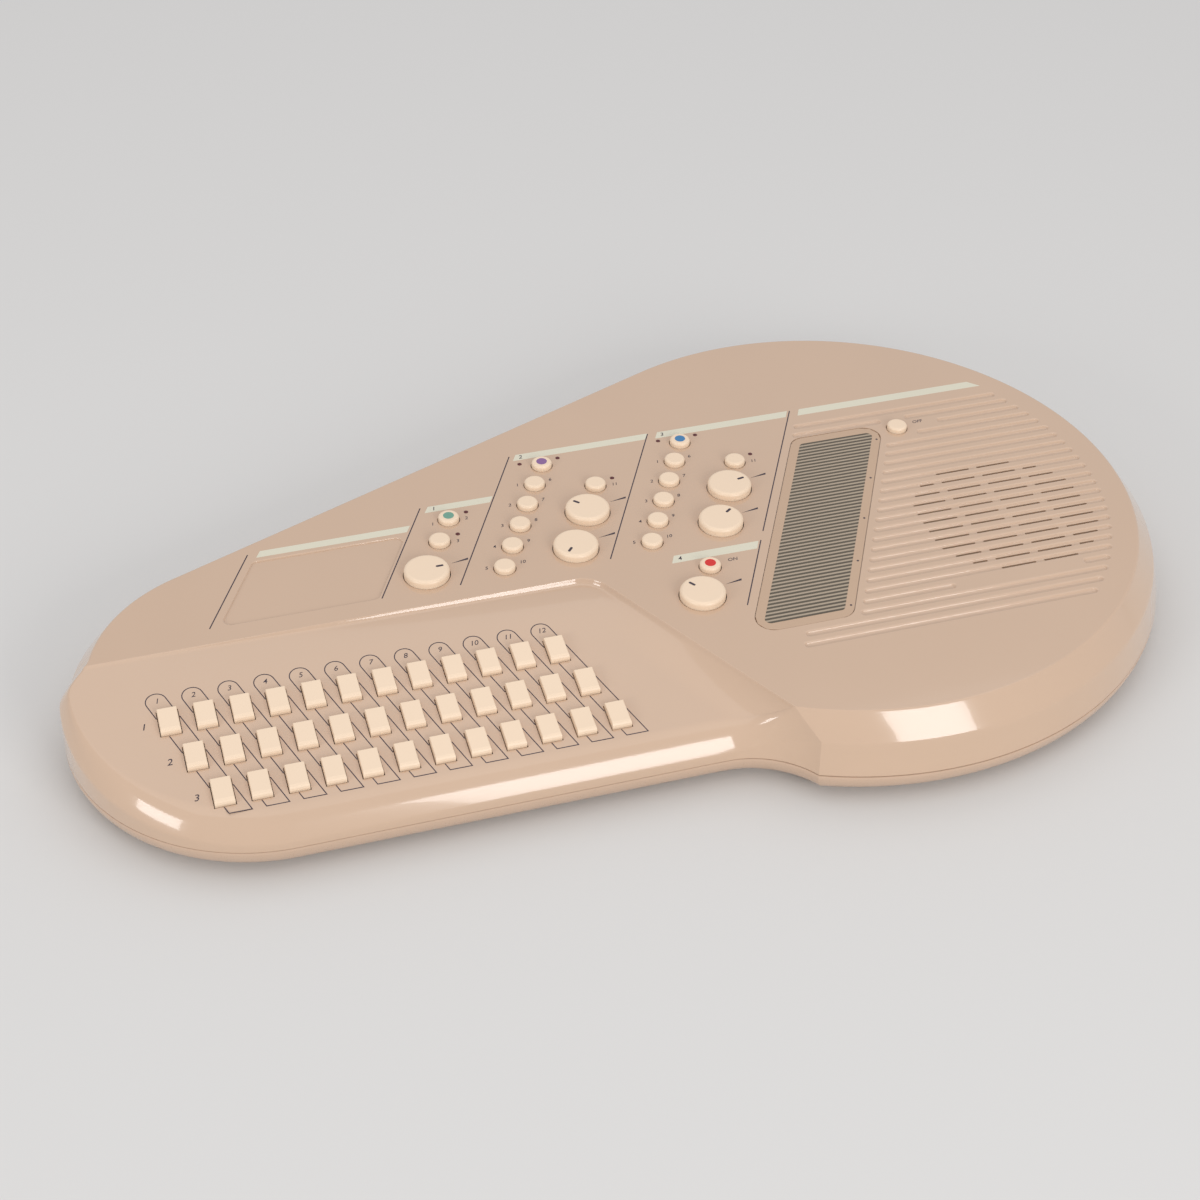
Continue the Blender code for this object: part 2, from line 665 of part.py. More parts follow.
# Where the shells and the boards are screwed; a case screw in the chord area has a shorter post
case_screws = [(14.0, -78.0, True), (-238.0, -30.0, True), (-150.0, 85.0, False)]
for degrees in (-95, -30, 35, 110):
    x = ROUND_CENTRE[0] + SCREW_CIRCLE * math.cos(math.radians(degrees))
    y = ROUND_CENTRE[1] + SCREW_CIRCLE * math.sin(math.radians(degrees))
    case_screws.append((x, y, False))
board_screws = [(-88.0, 30.0), (-20.0, 122.0), (60.0, 122.0), (68.0, -22.0), (115.0, 40.0), (185.0, 100.0)]
key_board_screws = [(-226.0, -28.0), (-115.0, -28.0), (-6.0, -28.0), (-170.0, -101.5), (-6.0, -101.5)]
board_outline = [(-100, 26), (8, 26), (18, -28), (76, -28), (84, 26), (124, 26), (124, 86), (222, 86),
                 (222, 114), (130, 114), (124, 130), (-16, 130), (-52, 100), (-78, 100)]
key_board_outline = [(-231, -75), (-212, -97), (-180, -105), (-2, -105), (-2, -24), (-231, -24)]
dome_sheet_outline = [(-229, -76), (-214, -96.5), (-4, -96.5), (-4, -33.5), (-229, -33.5)]
feet = [(-222.0, -38.0), (-198.0, 66.0), (38.0, -72.0), (235.0, -45.0), (200.0, 158.0)]
socket_places = [ROUND_CENTRE[0] + (k - 1) * SOCKET_PITCH for k in range(len(SOCKET_BORES))]

# Top shell
body = bmesh.new()
outer = add_case_skin(body, 0, 0)
inner = add_case_skin(body, WALL, WALL)
bridge(body, outer, inner)
upper = add_object("upper_housing", body, instrument, plastic("case_top", (0.63, 0.456, 0.328), 0.2))

tool = bmesh.new()
for x, y, in_chord_area in case_screws:
    top_z = chord_z(y) if in_chord_area else 0.0
    add_cylinder(tool, (x, y), POST_RADIUS, SEAM_Z, top_z - WALL / 2, POST_SIDES)
for spot in board_screws:
    add_cylinder(tool, spot, POST_RADIUS, BOARD_TOP_Z + GAP, PANEL_ROOT_Z, POST_SIDES)
for spot in key_board_screws:
    add_cylinder(tool, spot, POST_RADIUS, GAP - KEY_BOARD_DEPTH, PANEL_ROOT_Z, POST_SIDES, CHORD_PLACE)
for k in range(4):
    turn = Matrix.Translation((*SPEAKER_CENTRE, 0)) @ Matrix.Rotation(math.radians(45 + 90 * k), 4, "Z")
    near = SPEAKER_RADIUS + GAP
    low = SPEAKER_RIM_Z - SPEAKER_RIM_THICKNESS - GAP
    hook = [(near, PANEL_ROOT_Z), (near, low), (near - HOOK, low - GAP), (near - HOOK, low - CLIP_TIP),
            (near + CLIP_THICKNESS, low - CLIP_TIP), (near + CLIP_THICKNESS, PANEL_ROOT_Z)]
    add_loft(tool, [[(r, side, z) for r, z in hook] for side in (-CLIP_WIDTH / 2, CLIP_WIDTH / 2)], turn)
boolean(upper, add_object("posts", tool, instrument), "UNION")

tool = bmesh.new()
niche_low, niche_high = SOCKET_Z - NICHE_HEIGHT / 2, SOCKET_Z + NICHE_HEIGHT / 2
half = NICHE_WIDTH / 2 + WALL
reach = ROUND_RADIUS - WALL_DRAFT - GAP
outline = [(ROUND_CENTRE[0] + half, NICHE_Y - WALL)]
for k in range(NICHE_ARC_STEPS + 1):
    x = half * (1 - 2 * k / NICHE_ARC_STEPS)
    outline.append((ROUND_CENTRE[0] + x, ROUND_CENTRE[1] + math.sqrt(reach ** 2 - x ** 2)))
outline.append((ROUND_CENTRE[0] - half, NICHE_Y - WALL))
add_prism(tool, outline, niche_low - WALL, niche_high + WALL)
boolean(upper, add_object("niche_walls", tool, instrument), "UNION")

tool = bmesh.new()
add_prism(tool, rectangle((ROUND_CENTRE[0], NICHE_Y + NICHE_DEPTH), NICHE_WIDTH, 2 * NICHE_DEPTH),
          niche_low, niche_high)
for x, y, in_chord_area in case_screws:
    add_cylinder(tool, (x, y), SCREW_RADIUS + GAP, SEAM_Z - THROUGH, SEAM_Z + SCREW_BORE_DEPTH, SCREW_SIDES)
for spot in board_screws:
    add_cylinder(tool, spot, SCREW_RADIUS + GAP, BOARD_TOP_Z - THROUGH, BOARD_TOP_Z + BOARD_BORE_DEPTH, SCREW_SIDES)
for spot in key_board_screws:
    add_cylinder(tool, spot, SCREW_RADIUS + GAP, -KEY_BOARD_DEPTH - THROUGH, BOARD_BORE_DEPTH - KEY_BOARD_DEPTH,
                 SCREW_SIDES, CHORD_PLACE)
boolean(upper, add_object("bores", tool, instrument))
tool = bmesh.new()
for x in socket_places:
    add_cylinder(tool, (0, 0), SOCKET_BARREL + GAP, -WALL - THROUGH, THROUGH, SOCKET_SIDES,
                 facing_far(x, NICHE_Y, SOCKET_Z))
boolean(upper, add_object("socket_holes", tool, instrument))

tool = bmesh.new()
for row, number, x, back in key_places:
    add_prism(tool, rectangle((x, back), KEY_WIDTH + 2 * GAP, KEY_DEPTH + 2 * GAP), -WALL - THROUGH, THROUGH)
boolean(upper, add_object("key_openings", tool, chord_area))

tool = bmesh.new()
for spot in knobs.values():
    add_cylinder(tool, spot, KNOB_RADIUS + GAP, -WALL - THROUGH, THROUGH, KNOB_SIDES)
for spot in button_places:
    add_cylinder(tool, spot, BUTTON_RADIUS + GAP, -WALL - THROUGH, THROUGH, BUTTON_SIDES)
add_prism(tool, leaning_panel(PLATE_NEAR, PLATE_WIDTH, PLATE_LENGTH, PLATE_CORNER, GAP),
          PLATE_TOP_Z - PLATE_THICKNESS - GAP, THROUGH)
add_prism(tool, leaning_panel(RECESS_NEAR, RECESS_WIDTH, RECESS_LENGTH, RECESS_CORNER), -RECESS_DEPTH, THROUGH)
slots = bmesh.new()
flare = (GROOVE_WIDTH - GROOVE_FLOOR) / 2
for row in range(1, GROOVES + 1):
    y = FIRST_GROOVE_Y - GROOVE_PITCH * (row - 1)
    for left, right in groove_spans(row, y):
        loops = []
        for z in (-GROOVE_DEPTH, GROOVE_DEPTH / 2):
            widen = flare * (z + GROOVE_DEPTH) / GROOVE_DEPTH
            outline = stadium(left + flare - widen, right - flare + widen, y, GROOVE_FLOOR / 2 + widen)
            loops.append([(*point, z) for point in outline])
        add_loft(tool, loops)
    for left, right in slot_spans(y):
        add_prism(slots, rectangle(((left + right) / 2, y), right - left, SLOT_WIDTH), -WALL - THROUGH, THROUGH)
boolean(upper, add_object("panel_openings", tool, instrument))
boolean(upper, add_object("speaker_slots", slots, instrument))

# Bottom shell
body = bmesh.new()
add_loft(body, [lower_ring(inset, BASE_Z + height) for inset, height in BOTTOM_OUTSIDE + BOTTOM_INSIDE])
lower = add_object("lower_housing", body, instrument, plastic("case_bottom", (0.58, 0.41, 0.31), 0.35))

tool = bmesh.new()
add_prism(tool, rectangle(TRAY_CENTRE, TRAY_LENGTH + 2 * TRAY_WALL, TRAY_WIDTH + 2 * TRAY_WALL),
          BASE_Z + WALL / 2, TRAY_TOP_Z)
for x, y, in_chord_area in case_screws:
    add_cylinder(tool, (x, y), BOSS_RADIUS, BASE_Z + WALL / 2, SEAM_Z - GAP, POST_SIDES)
boolean(lower, add_object("bosses", tool, instrument), "UNION")
tool = bmesh.new()
add_prism(tool, rectangle(TAB_CENTRE, TAB_WIDTH + 2 * TRAY_WALL, TAB_LENGTH + 2 * TRAY_WALL),
          BASE_Z + WALL / 2, DOOR_TOP_Z + GAP + DOOR_BOSS)
for spot in feet:
    foot = [(0, FLOOR_Z), (FOOT_RADIUS - 1, FLOOR_Z), (FOOT_RADIUS, FLOOR_Z + 1), (FOOT_RADIUS, BASE_Z + WALL / 2),
            (0, BASE_Z + WALL / 2)]
    add_turned(tool, foot, BUTTON_SIDES, Matrix.Translation((*spot, 0)))
boolean(lower, add_object("door_boss_and_feet", tool, instrument), "UNION")

tool = bmesh.new()
add_prism(tool, rectangle(TRAY_CENTRE, TRAY_LENGTH, TRAY_WIDTH), BASE_Z - THROUGH, TRAY_TOP_Z - WALL)
for x, y, in_chord_area in case_screws:
    head = SCREW_HEAD_RADIUS + GAP
    profile = [(0, BASE_Z - THROUGH), (head, BASE_Z - THROUGH), (head, BASE_Z + SCREW_RECESS),
               (SCREW_RADIUS + GAP, BASE_Z + SCREW_RECESS), (SCREW_RADIUS + GAP, SEAM_Z + THROUGH),
               (0, SEAM_Z + THROUGH)]
    add_turned(tool, profile, SCREW_SIDES, Matrix.Translation((x, y, 0)))
boolean(lower, add_object("tray_space", tool, instrument))
tool = bmesh.new()
add_prism(tool, door_outline(GAP), BASE_Z - THROUGH, DOOR_TOP_Z + GAP)
boolean(lower, add_object("door_seat", tool, instrument))
tool = bmesh.new()
add_cylinder(tool, TAB_CENTRE, SCREW_RADIUS + GAP, BASE_Z - THROUGH, BASE_Z + DOOR_BOSS, SCREW_SIDES)
boolean(lower, add_object("door_screw_hole", tool, instrument))

body = bmesh.new()
add_prism(body, door_outline(0), BASE_Z, DOOR_TOP_Z)
door = add_object("battery_door", body, instrument, plastic("door", (0.58, 0.41, 0.31), 0.4))
tool = bmesh.new()
add_cylinder(tool, TAB_CENTRE, SCREW_RADIUS + GAP, BASE_Z - THROUGH, DOOR_TOP_Z + THROUGH, SCREW_SIDES)
boolean(door, add_object("door_hole", tool, instrument))

# Chord keys: each a cap with a rounded front, a flange below the panel and a stem
ivory = plastic("ivory", (0.896, 0.716, 0.515), 0.3)
key_levels = [
    (KEY_BOTTOM, KEY_STEM_WIDTH, KEY_STEM_DEPTH, 0.0),
    (KEY_FLANGE_TOP - KEY_FLANGE_THICKNESS, KEY_STEM_WIDTH, KEY_STEM_DEPTH, 0.0),
    (KEY_FLANGE_TOP - KEY_FLANGE_THICKNESS, KEY_WIDTH + KEY_FLANGE, KEY_DEPTH + KEY_FLANGE, KEY_FRONT_CUT),
    (KEY_FLANGE_TOP, KEY_WIDTH + KEY_FLANGE, KEY_DEPTH + KEY_FLANGE, KEY_FRONT_CUT),
    (KEY_FLANGE_TOP, KEY_WIDTH, KEY_DEPTH, 0.0), (KEY_HEIGHT - 1.9, KEY_WIDTH, KEY_DEPTH, 0.0),
    (KEY_HEIGHT - 0.9, KEY_WIDTH - 0.1, KEY_DEPTH, 0.4), (KEY_HEIGHT - 0.3, KEY_WIDTH - 0.3, KEY_DEPTH - 0.2, 1.0),
    (KEY_HEIGHT, KEY_WIDTH - 1.0, KEY_DEPTH - 0.8, 1.9)]
for row, number, x, back in key_places:
    body = bmesh.new()
    loops = []
    for z, width, depth, front in key_levels:
        outline = rectangle((0, front / 2), width, depth - front)
        loops.append([(*point, z) for point in outline])
    add_loft(body, loops)
    add_object(f"chord_key_{row}_{number:02d}", body, chord_area, ivory, (x, back, 0))

# Knobs: a plain round cap on a spindle; each turns about its own centre
for name, spot in knobs.items():
    body = bmesh.new()
    spindle_end = POT_TOP_Z - SPINDLE_REACH
    add_turned(body, [(0, spindle_end), (SPINDLE_RADIUS, spindle_end), (SPINDLE_RADIUS, -KNOB_SKIRT),
                      (KNOB_RADIUS, -KNOB_SKIRT), (KNOB_RADIUS, KNOB_HEIGHT - 1.4),
                      (KNOB_RADIUS - 0.5, KNOB_HEIGHT - 0.4), (KNOB_RADIUS - 1.5, KNOB_HEIGHT), (0, KNOB_HEIGHT)],
               KNOB_SIDES)
    add_object(name, body, instrument, ivory, (*spot, 0), smooth=True)

# Push buttons: caps through the panel, each with a flange that keeps it in; a group hangs on one strip
for name, spots in button_groups.items():
    body = bmesh.new()
    for x, y in spots:
        centre = Matrix.Translation((x - spots[0][0], y - spots[0][1], 0))
        add_turned(body, [(0, BUTTON_BOTTOM_Z), (BUTTON_FLANGE_RADIUS, BUTTON_BOTTOM_Z),
                          (BUTTON_FLANGE_RADIUS, -WALL - GAP), (BUTTON_RADIUS, -WALL - GAP),
                          (BUTTON_RADIUS, BUTTON_HEIGHT - BUTTON_ROUNDING),
                          (BUTTON_RADIUS - BUTTON_ROUNDING, BUTTON_HEIGHT),
                          (0, BUTTON_HEIGHT)], BUTTON_SIDES, centre)
    group = add_object(name, body, instrument, ivory, (*spots[0], 0), smooth=True)
    if len(spots) > 1:
        tool = bmesh.new()
        stops = [spots[0], spots[5], spots[6]] if len(spots) > 2 else spots
        for start, stop in zip(stops, stops[1:]):
            add_bar(tool, start, stop, STRIP_WIDTH / 2, BUTTON_BOTTOM_Z + STRIP_SETBACK, -WALL - GAP - STRIP_SETBACK)
        boolean(group, add_object(name + "_strip", tool, instrument), "UNION")

body = bmesh.new()
add_prism(body, leaning_panel(PLATE_NEAR, PLATE_WIDTH, PLATE_LENGTH, PLATE_CORNER),
          PLATE_TOP_Z - PLATE_THICKNESS, PLATE_TOP_Z)
add_object("touch_plate", body, instrument, plastic("touch_plate", (0.33, 0.29, 0.17), 0.45))

# Loudspeaker: a paper cone with its dust cap in a steel basket with the magnet behind
back = SPEAKER_RIM_Z - SPEAKER_DEPTH
rim_low = SPEAKER_RIM_Z - SPEAKER_RIM_THICKNESS
basket = [(0, BASKET_NECK_Z), (BASKET_NECK_RADIUS, BASKET_NECK_Z), (SPEAKER_SEAT_RADIUS - 2, rim_low - GAP),
          (SPEAKER_SEAT_RADIUS, SPEAKER_RIM_Z), (SPEAKER_RADIUS, SPEAKER_RIM_Z), (SPEAKER_RADIUS, rim_low),
          (SPEAKER_SEAT_RADIUS, rim_low - 3 * GAP), (2 * BASKET_NECK_RADIUS, MAGNET_TOP_Z),
          (MAGNET_RADIUS, MAGNET_TOP_Z), (MAGNET_RADIUS, back), (0, back)]
body = bmesh.new()
add_turned(body, basket, KNOB_SIDES)
add_object("speaker_basket", body, instrument, plastic("speaker_steel", (0.1, 0.1, 0.1), 0.5, 1.0),
           (*SPEAKER_CENTRE, 0), smooth=True)
cone = [(0, DUST_CAP_Z), (0.6 * DUST_CAP_RADIUS, DUST_CAP_Z - 1), (DUST_CAP_RADIUS, CONE_BACK_Z + 2),
        (SURROUND_RADIUS, rim_low), (CONE_RADIUS, SPEAKER_RIM_Z - 0.2), (CONE_RADIUS, SPEAKER_RIM_Z - 0.8),
        (SURROUND_RADIUS + 0.5, rim_low - 0.5), (DUST_CAP_RADIUS, CONE_BACK_Z), (0, CONE_BACK_Z)]
body = bmesh.new()
add_turned(body, cone, KNOB_SIDES)
add_object("speaker_cone", body, instrument, plastic("speaker_paper", (0.02, 0.02, 0.02), 0.8),
           (*SPEAKER_CENTRE, 0), smooth=True)

# Main board with a push switch under each button and a potentiometer under each knob
body = bmesh.new()
add_prism(body, board_outline, BOARD_TOP_Z - BOARD_THICKNESS, BOARD_TOP_Z)
board = add_object("main_board", body, instrument, plastic("board", (0.03, 0.12, 0.05), 0.5))
tool = bmesh.new()
for spot in button_places:
    body_top = BOARD_TOP_Z + SWITCH_HEIGHT
    plunger_top = BUTTON_BOTTOM_Z - BUTTON_TRAVEL - GAP
    levels = ((BOARD_TOP_Z - ROOTED, SWITCH_SIDE), (body_top, SWITCH_SIDE), (body_top, PLUNGER_SIDE),
              (plunger_top, PLUNGER_SIDE))
    add_loft(tool, [[(*point, z) for point in rectangle(spot, side, side)] for z, side in levels])
bore = SPINDLE_RADIUS + GAP
bore_end = POT_TOP_Z - SPINDLE_REACH - ROOTED
collar_top = -KNOB_SKIRT - 5 * GAP
for x, y in knobs.values():
    profile = [(0, BOARD_TOP_Z - ROOTED), (POT_RADIUS, BOARD_TOP_Z - ROOTED), (POT_RADIUS, POT_TOP_Z),
               (bore + POT_COLLAR, POT_TOP_Z), (bore + POT_COLLAR, collar_top), (bore, collar_top),
               (bore, bore_end), (0, bore_end)]
    add_turned(tool, profile, SOCKET_SIDES, Matrix.Translation((x, y, 0)))
boolean(board, add_object("switches_and_pots", tool, instrument), "UNION")
tool = bmesh.new()
for spot in board_screws:
    add_cylinder(tool, spot, SCREW_RADIUS + GAP, BOARD_TOP_Z - THROUGH, BOARD_TOP_Z + THROUGH, SCREW_SIDES)
boolean(board, add_object("board_holes", tool, instrument))

# Chord key switches: a rubber sheet with a dome below each key, on its own board
body = bmesh.new()
sheet_low = GAP - KEY_BOARD_DEPTH
add_prism(body, dome_sheet_outline, sheet_low, sheet_low + DOME_SHEET_THICKNESS)
sheet = add_object("key_dome_sheet", body, chord_area, plastic("dome_rubber", (0.35, 0.35, 0.33), 0.8))
tool = bmesh.new()
for row, number, x, back in key_places:
    levels = ((sheet_low + ROOTED, DOME_RADIUS), (KEY_BOTTOM - KEY_TRAVEL - GAP, DOME_RADIUS - DOME_DRAFT))
    add_loft(tool, [[(*point, z) for point in circle((x, back), radius, SCREW_SIDES)] for z, radius in levels])
boolean(sheet, add_object("domes", tool, chord_area), "UNION")

body = bmesh.new()
add_prism(body, key_board_outline, -KEY_BOARD_DEPTH - BOARD_THICKNESS, -KEY_BOARD_DEPTH)
key_board = add_object("chord_key_board", body, chord_area, plastic("key_board", (0.03, 0.12, 0.05), 0.5))
tool = bmesh.new()
for spot in key_board_screws:
    add_cylinder(tool, spot, SCREW_RADIUS + GAP, -KEY_BOARD_DEPTH - THROUGH, THROUGH - KEY_BOARD_DEPTH, SCREW_SIDES)
boolean(key_board, add_object("key_board_holes", tool, chord_area))

# Batteries in pairs along a holder plate, every second pair turned round
body = bmesh.new()
cell_z = DOOR_TOP_Z + GAP + CELL_RADIUS
shoulder = CELL_LENGTH - CELL_NIB
cell = [(0, 0), (CELL_RADIUS, 0), (CELL_RADIUS, shoulder), (CELL_NIB_RADIUS, shoulder),
        (CELL_NIB_RADIUS, CELL_LENGTH), (0, CELL_LENGTH)]
for k in range(CELL_ROWS):
    y = TRAY_CENTRE[1] + (k - (CELL_ROWS - 1) / 2) * TRAY_WIDTH / CELL_ROWS
    facing = 1 if k % 2 == 0 else -1
    for start in (-CELL_LENGTH - GAP, GAP):
        cell_end = Matrix.Translation((TRAY_CENTRE[0] + facing * start, y, cell_z))
        add_turned(body, cell, SOCKET_SIDES, cell_end @ Matrix.Rotation(facing * math.pi / 2, 4, "Y"))
pack = add_object("battery_pack", body, instrument, plastic("cells", (0.1, 0.1, 0.12), 0.4, 0.6))
tool = bmesh.new()
add_prism(tool, rectangle(TRAY_CENTRE, TRAY_LENGTH - 2, TRAY_WIDTH - 2),
          cell_z - HOLDER_THICKNESS / 2, cell_z + HOLDER_THICKNESS / 2)
boolean(pack, add_object("holder_plate", tool, instrument), "UNION")

# Sockets on the far wall: barrels through the niche, bodies on a small upright board
body = bmesh.new()
board_y = NICHE_Y - WALL - GAP - SOCKET_BODY
body_back = -WALL - GAP - SOCKET_BODY - ROOTED
bore_back = SOCKET_END - SOCKET_DEPTH
for x, bore in zip(socket_places, SOCKET_BORES):
    profile = [(0, body_back), (SOCKET_BODY_RADIUS, body_back), (SOCKET_BODY_RADIUS, -WALL - GAP),
               (SOCKET_BARREL, -WALL - GAP), (SOCKET_BARREL, SOCKET_PROUD), (bore, SOCKET_PROUD), (bore, bore_back)]
    if x == socket_places[0]:
        pin_end = SOCKET_PROUD - THROUGH
        profile += [(INLET_PIN, bore_back), (INLET_PIN, pin_end), (0, pin_end)]
    else:
        profile += [(0, bore_back)]
    add_turned(body, profile, SOCKET_SIDES, facing_far(x, NICHE_Y, SOCKET_Z))
sockets = add_object("rear_sockets", body, instrument, plastic("socket_plastic", (0.02, 0.02, 0.02), 0.45))
tool = bmesh.new()
add_prism(tool, rectangle((ROUND_CENTRE[0], board_y - BOARD_THICKNESS / 2), NICHE_WIDTH, BOARD_THICKNESS),
          niche_low, niche_high)
boolean(sockets, add_object("socket_board", tool, instrument), "UNION")
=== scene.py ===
"""Looks of the electronic autoharp: finely formed shells, caps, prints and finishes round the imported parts.

Pieces are drawn in millimetres in the panel frame (X along the instrument, Y away from the player, Z = 0 on
the flat panel) and put in their standing place when they are finished.
"""

import math

import bmesh
import bpy
from mathutils import Matrix, Vector


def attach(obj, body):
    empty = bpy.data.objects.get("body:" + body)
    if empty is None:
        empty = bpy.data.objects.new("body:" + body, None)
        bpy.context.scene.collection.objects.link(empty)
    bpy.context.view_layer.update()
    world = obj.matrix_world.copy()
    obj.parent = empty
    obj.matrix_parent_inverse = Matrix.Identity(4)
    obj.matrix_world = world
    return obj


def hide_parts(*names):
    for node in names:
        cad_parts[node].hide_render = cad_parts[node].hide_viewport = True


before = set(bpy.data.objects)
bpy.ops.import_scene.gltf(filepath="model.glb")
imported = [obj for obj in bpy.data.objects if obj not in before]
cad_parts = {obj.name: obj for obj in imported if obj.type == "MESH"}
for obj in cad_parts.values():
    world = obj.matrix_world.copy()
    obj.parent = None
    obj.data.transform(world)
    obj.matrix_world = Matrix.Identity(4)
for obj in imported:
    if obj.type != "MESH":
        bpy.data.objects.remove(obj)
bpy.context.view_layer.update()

MM = 0.001
STAND_SHIFT = (-24.15, -43.3588, 49.0)    # from the panel frame to the standing frame
PANEL_TO_STAND = Matrix.Scale(MM, 4) @ Matrix.Translation(STAND_SHIFT)
BODY = "case"

# Sizes shared with the solids
GAP = 0.3
CLEARANCE = 0.45                 # round the keys, knobs and buttons
WALL = 2.5
ROUND_CENTRE = Vector((144.0, 43.5))
ROUND_RADIUS = 177.0
TAIL_CENTRE = Vector((-175.0, -0.8))
TAIL_RADIUS = 97.7
WAIST_START_X = 35.0
WAIST_RADIUS = 47.0
SEAM_Z = -31.5
BASE_Z = -45.5
FLOOR_Z = -49.0
CHAMFER_INSET = 11.0
CHAMFER_DROP = 13.6
WALL_DRAFT = 4.5
EDGE_SOFTENING = 1.4
ROLL_INSET = 13.5                # of the soft edge on the near side
TAIL_INSET = 7.0                 # of the same edge at the end of the tail
SHOULDER_FLAT = 4.2              # reach of the soft shoulder on the chord area
SHOULDER_STEEP = 4.5             # and down to the band
BAND_WIDTH = 4.0
BAND_SLOPES = (1.19, 1.80)       # at the top and the foot of the band
KNEE = 0.5                       # the slight bend between the band and the flank
KNEE_DROP = 1.6
CRISP_SHARE = 0.2                # what is left of the soft shoulder at the end of the tail
INNER_TIGHTENING = 0.6           # how much less the inner skin rolls, per millimetre of wall
CHAMFER_END = math.radians(177)  # where the panel's chamfer has become the roll, round the tail
CHAMFER_FADE = math.radians(15)
CORNER_LINE = (                  # height and place of the waist's sharp corner, from the joint up
    (SEAM_Z, 75.0, -120.5), (-CHAMFER_DROP, 76.5, -116.4), (-6.0, 71.3, -109.5), (0.0, 67.2, -102.3))
CREST_ROUNDING = 3.0
CREASE_Y = 20.0
CREASE_RUN = 24.0                # from the crest to where the chord area is a plane
STEP_RUN = 2.8                   # the steep lip just below the crest
STEP_DROP = 3.0                  # at the crease's bend; it runs out at the waist's corner
TAIL_STEP_DROP = 0.5
CHORD_SLOPE = math.radians(7.7)
CHORD_LINE = Vector((16.0, -1.2))    # a level line of the chord area's plane: its Y and its height
CHORD_PLACE = Matrix.Translation((0, *CHORD_LINE)) @ Matrix.Rotation(CHORD_SLOPE, 4, "X")
CREASE_BEND_X = -8.7
CREASE_BEND_RADIUS = 18.0
SLANT = math.radians(27.43)
NEAR_Y = TAIL_CENTRE.y - TAIL_RADIUS
FOLD_X = WAIST_START_X - 5.0
PANEL_INSET = CHAMFER_INSET + WALL_DRAFT
RIM_INSET = PANEL_INSET + 0.3 * EDGE_SOFTENING
WAIST_CENTRE = Vector((WAIST_START_X, NEAR_Y - WAIST_RADIUS))
CHORD_START_Y = CREASE_Y - CREASE_RUN
KEY_WIDTH = 9.8
KEY_DEPTH = 15.0
KEY_PITCH = 17.5
KEY_ROW_PITCH = 24.05
KEY_COLUMNS = 12
KEY_ROWS = 3
FIRST_KEY = (-222.4, -40.9)
KNOB_RADIUS = 11.9
KNOB_TOP = 4.4
KNOB_FOOT = -3.5
SPINDLE_RADIUS = 3.0
SPINDLE_FOOT = -9.0
KNOB_ROW_Y = 43.9
KNOB_RISE = 28.4                 # from the lower knob of a pair to the upper one
BUTTON_RADIUS = 5.6
BUTTON_PITCH = 16.35
MODE_BUTTON_PITCH = 17.5
BUTTON_TOP = 3.0
FLANGE_WIDTH = 1.4               # of the rim that keeps a button in
FLANGE_TOP = -2.8
FLANGE_FOOT = -4.0
STRIP_WIDTH = 6                  # of the bars that join the buttons of a group
STRIP_LOW, STRIP_HIGH = -3.8, -3.0
PLATE_TOP = -0.1
PLATE_THICKNESS = 0.8
PLATE_CORNER = 9.0
NICHE_WIDTH = 66
NICHE_HALF_HEIGHT = 6.25
NICHE_Y = ROUND_CENTRE.y + ROUND_RADIUS - 8.5
SOCKET_Z = -22.5
SOCKET_RADIUS = 5.0
BAY_CENTRE = (-20, 66)           # of the battery bay
BAY_WIDTH = 108
BAY_LENGTH = 60.5
BAY_WALL = 3
BAY_TOP = -30.1
BOSS_RADIUS = 4.5                # of the posts round the case screws
BORE_RADIUS = 3.3
FOOT_RADIUS = 8.0
CUT_LOW = -WALL - 2              # reach of a tool that cuts through the panel
CUT_HIGH = 2.0

# How finely the shells are drawn
ROUND_STEPS = 144
CORNER_REACH = 48
TAIL_FAR_STEPS = 28
TAIL_NEAR_STEPS = 56
RUNGS = 26                       # steps from a crest down to the plane of the chord area
RUNG_CROWDING = 2.2              # how much shorter they are near the crest
BEND_STEPS = 16
CREASE_STEPS = 12
FOLD_STEPS = 20
NICHE_STEPS = 24
OUTER_LEVELS = (0.0, 0.02, 0.045, 0.25, 0.5, 0.75, 1.0, 1.2, 1.4, 1.6, 1.8, 2.0,
                2.25, 2.5, 2.75, 3.0, 3.15, 3.3, 3.45, 3.6, 3.75, 3.87, 4.0)
OUTER_LIPS = (0.5, 0.12)         # how far the first loops are drawn in, for a soft edge at the joint
INNER_LEVELS = (0.0, 1.0, 2.0, 3.0, 4.0)
SAME_HEIGHT = 0.01
SAME_POINT = 0.0005
SHORTEST_STROKE = 0.3

# The built-in letters
CAP_HEIGHT = 0.729               # at size 1
LETTER_SLANT = 0.25


# Modelling by hand

def deselect():
    if bpy.context.object and bpy.context.object.mode != "OBJECT":
        bpy.ops.object.mode_set(mode="OBJECT")
    bpy.ops.object.select_all(action="DESELECT")


def pick(piece):
    deselect()
    piece.select_set(True)
    bpy.context.view_layer.objects.active = piece


def edit(piece, mode="FACE"):
    pick(piece)
    bpy.ops.object.mode_set(mode="EDIT")
    bpy.ops.mesh.select_mode(type=mode)


def done():
    bpy.ops.object.mode_set(mode="OBJECT")


def cylinder(radius, low, high, sides=48, at=(0, 0)):
    deselect()
    bpy.ops.mesh.primitive_cylinder_add(vertices=sides, radius=radius, depth=high - low,
                                        location=(*at, (low + high) / 2))
    bpy.ops.object.transform_apply(location=True, rotation=True, scale=True)
    return bpy.context.object


def block(centre, width, length, low, high):
    deselect()
    bpy.ops.mesh.primitive_cube_add(size=1, location=(*centre, (low + high) / 2),
                                    scale=(width, length, high - low))
    bpy.ops.object.transform_apply(location=True, rotation=True, scale=True)
    return bpy.context.object


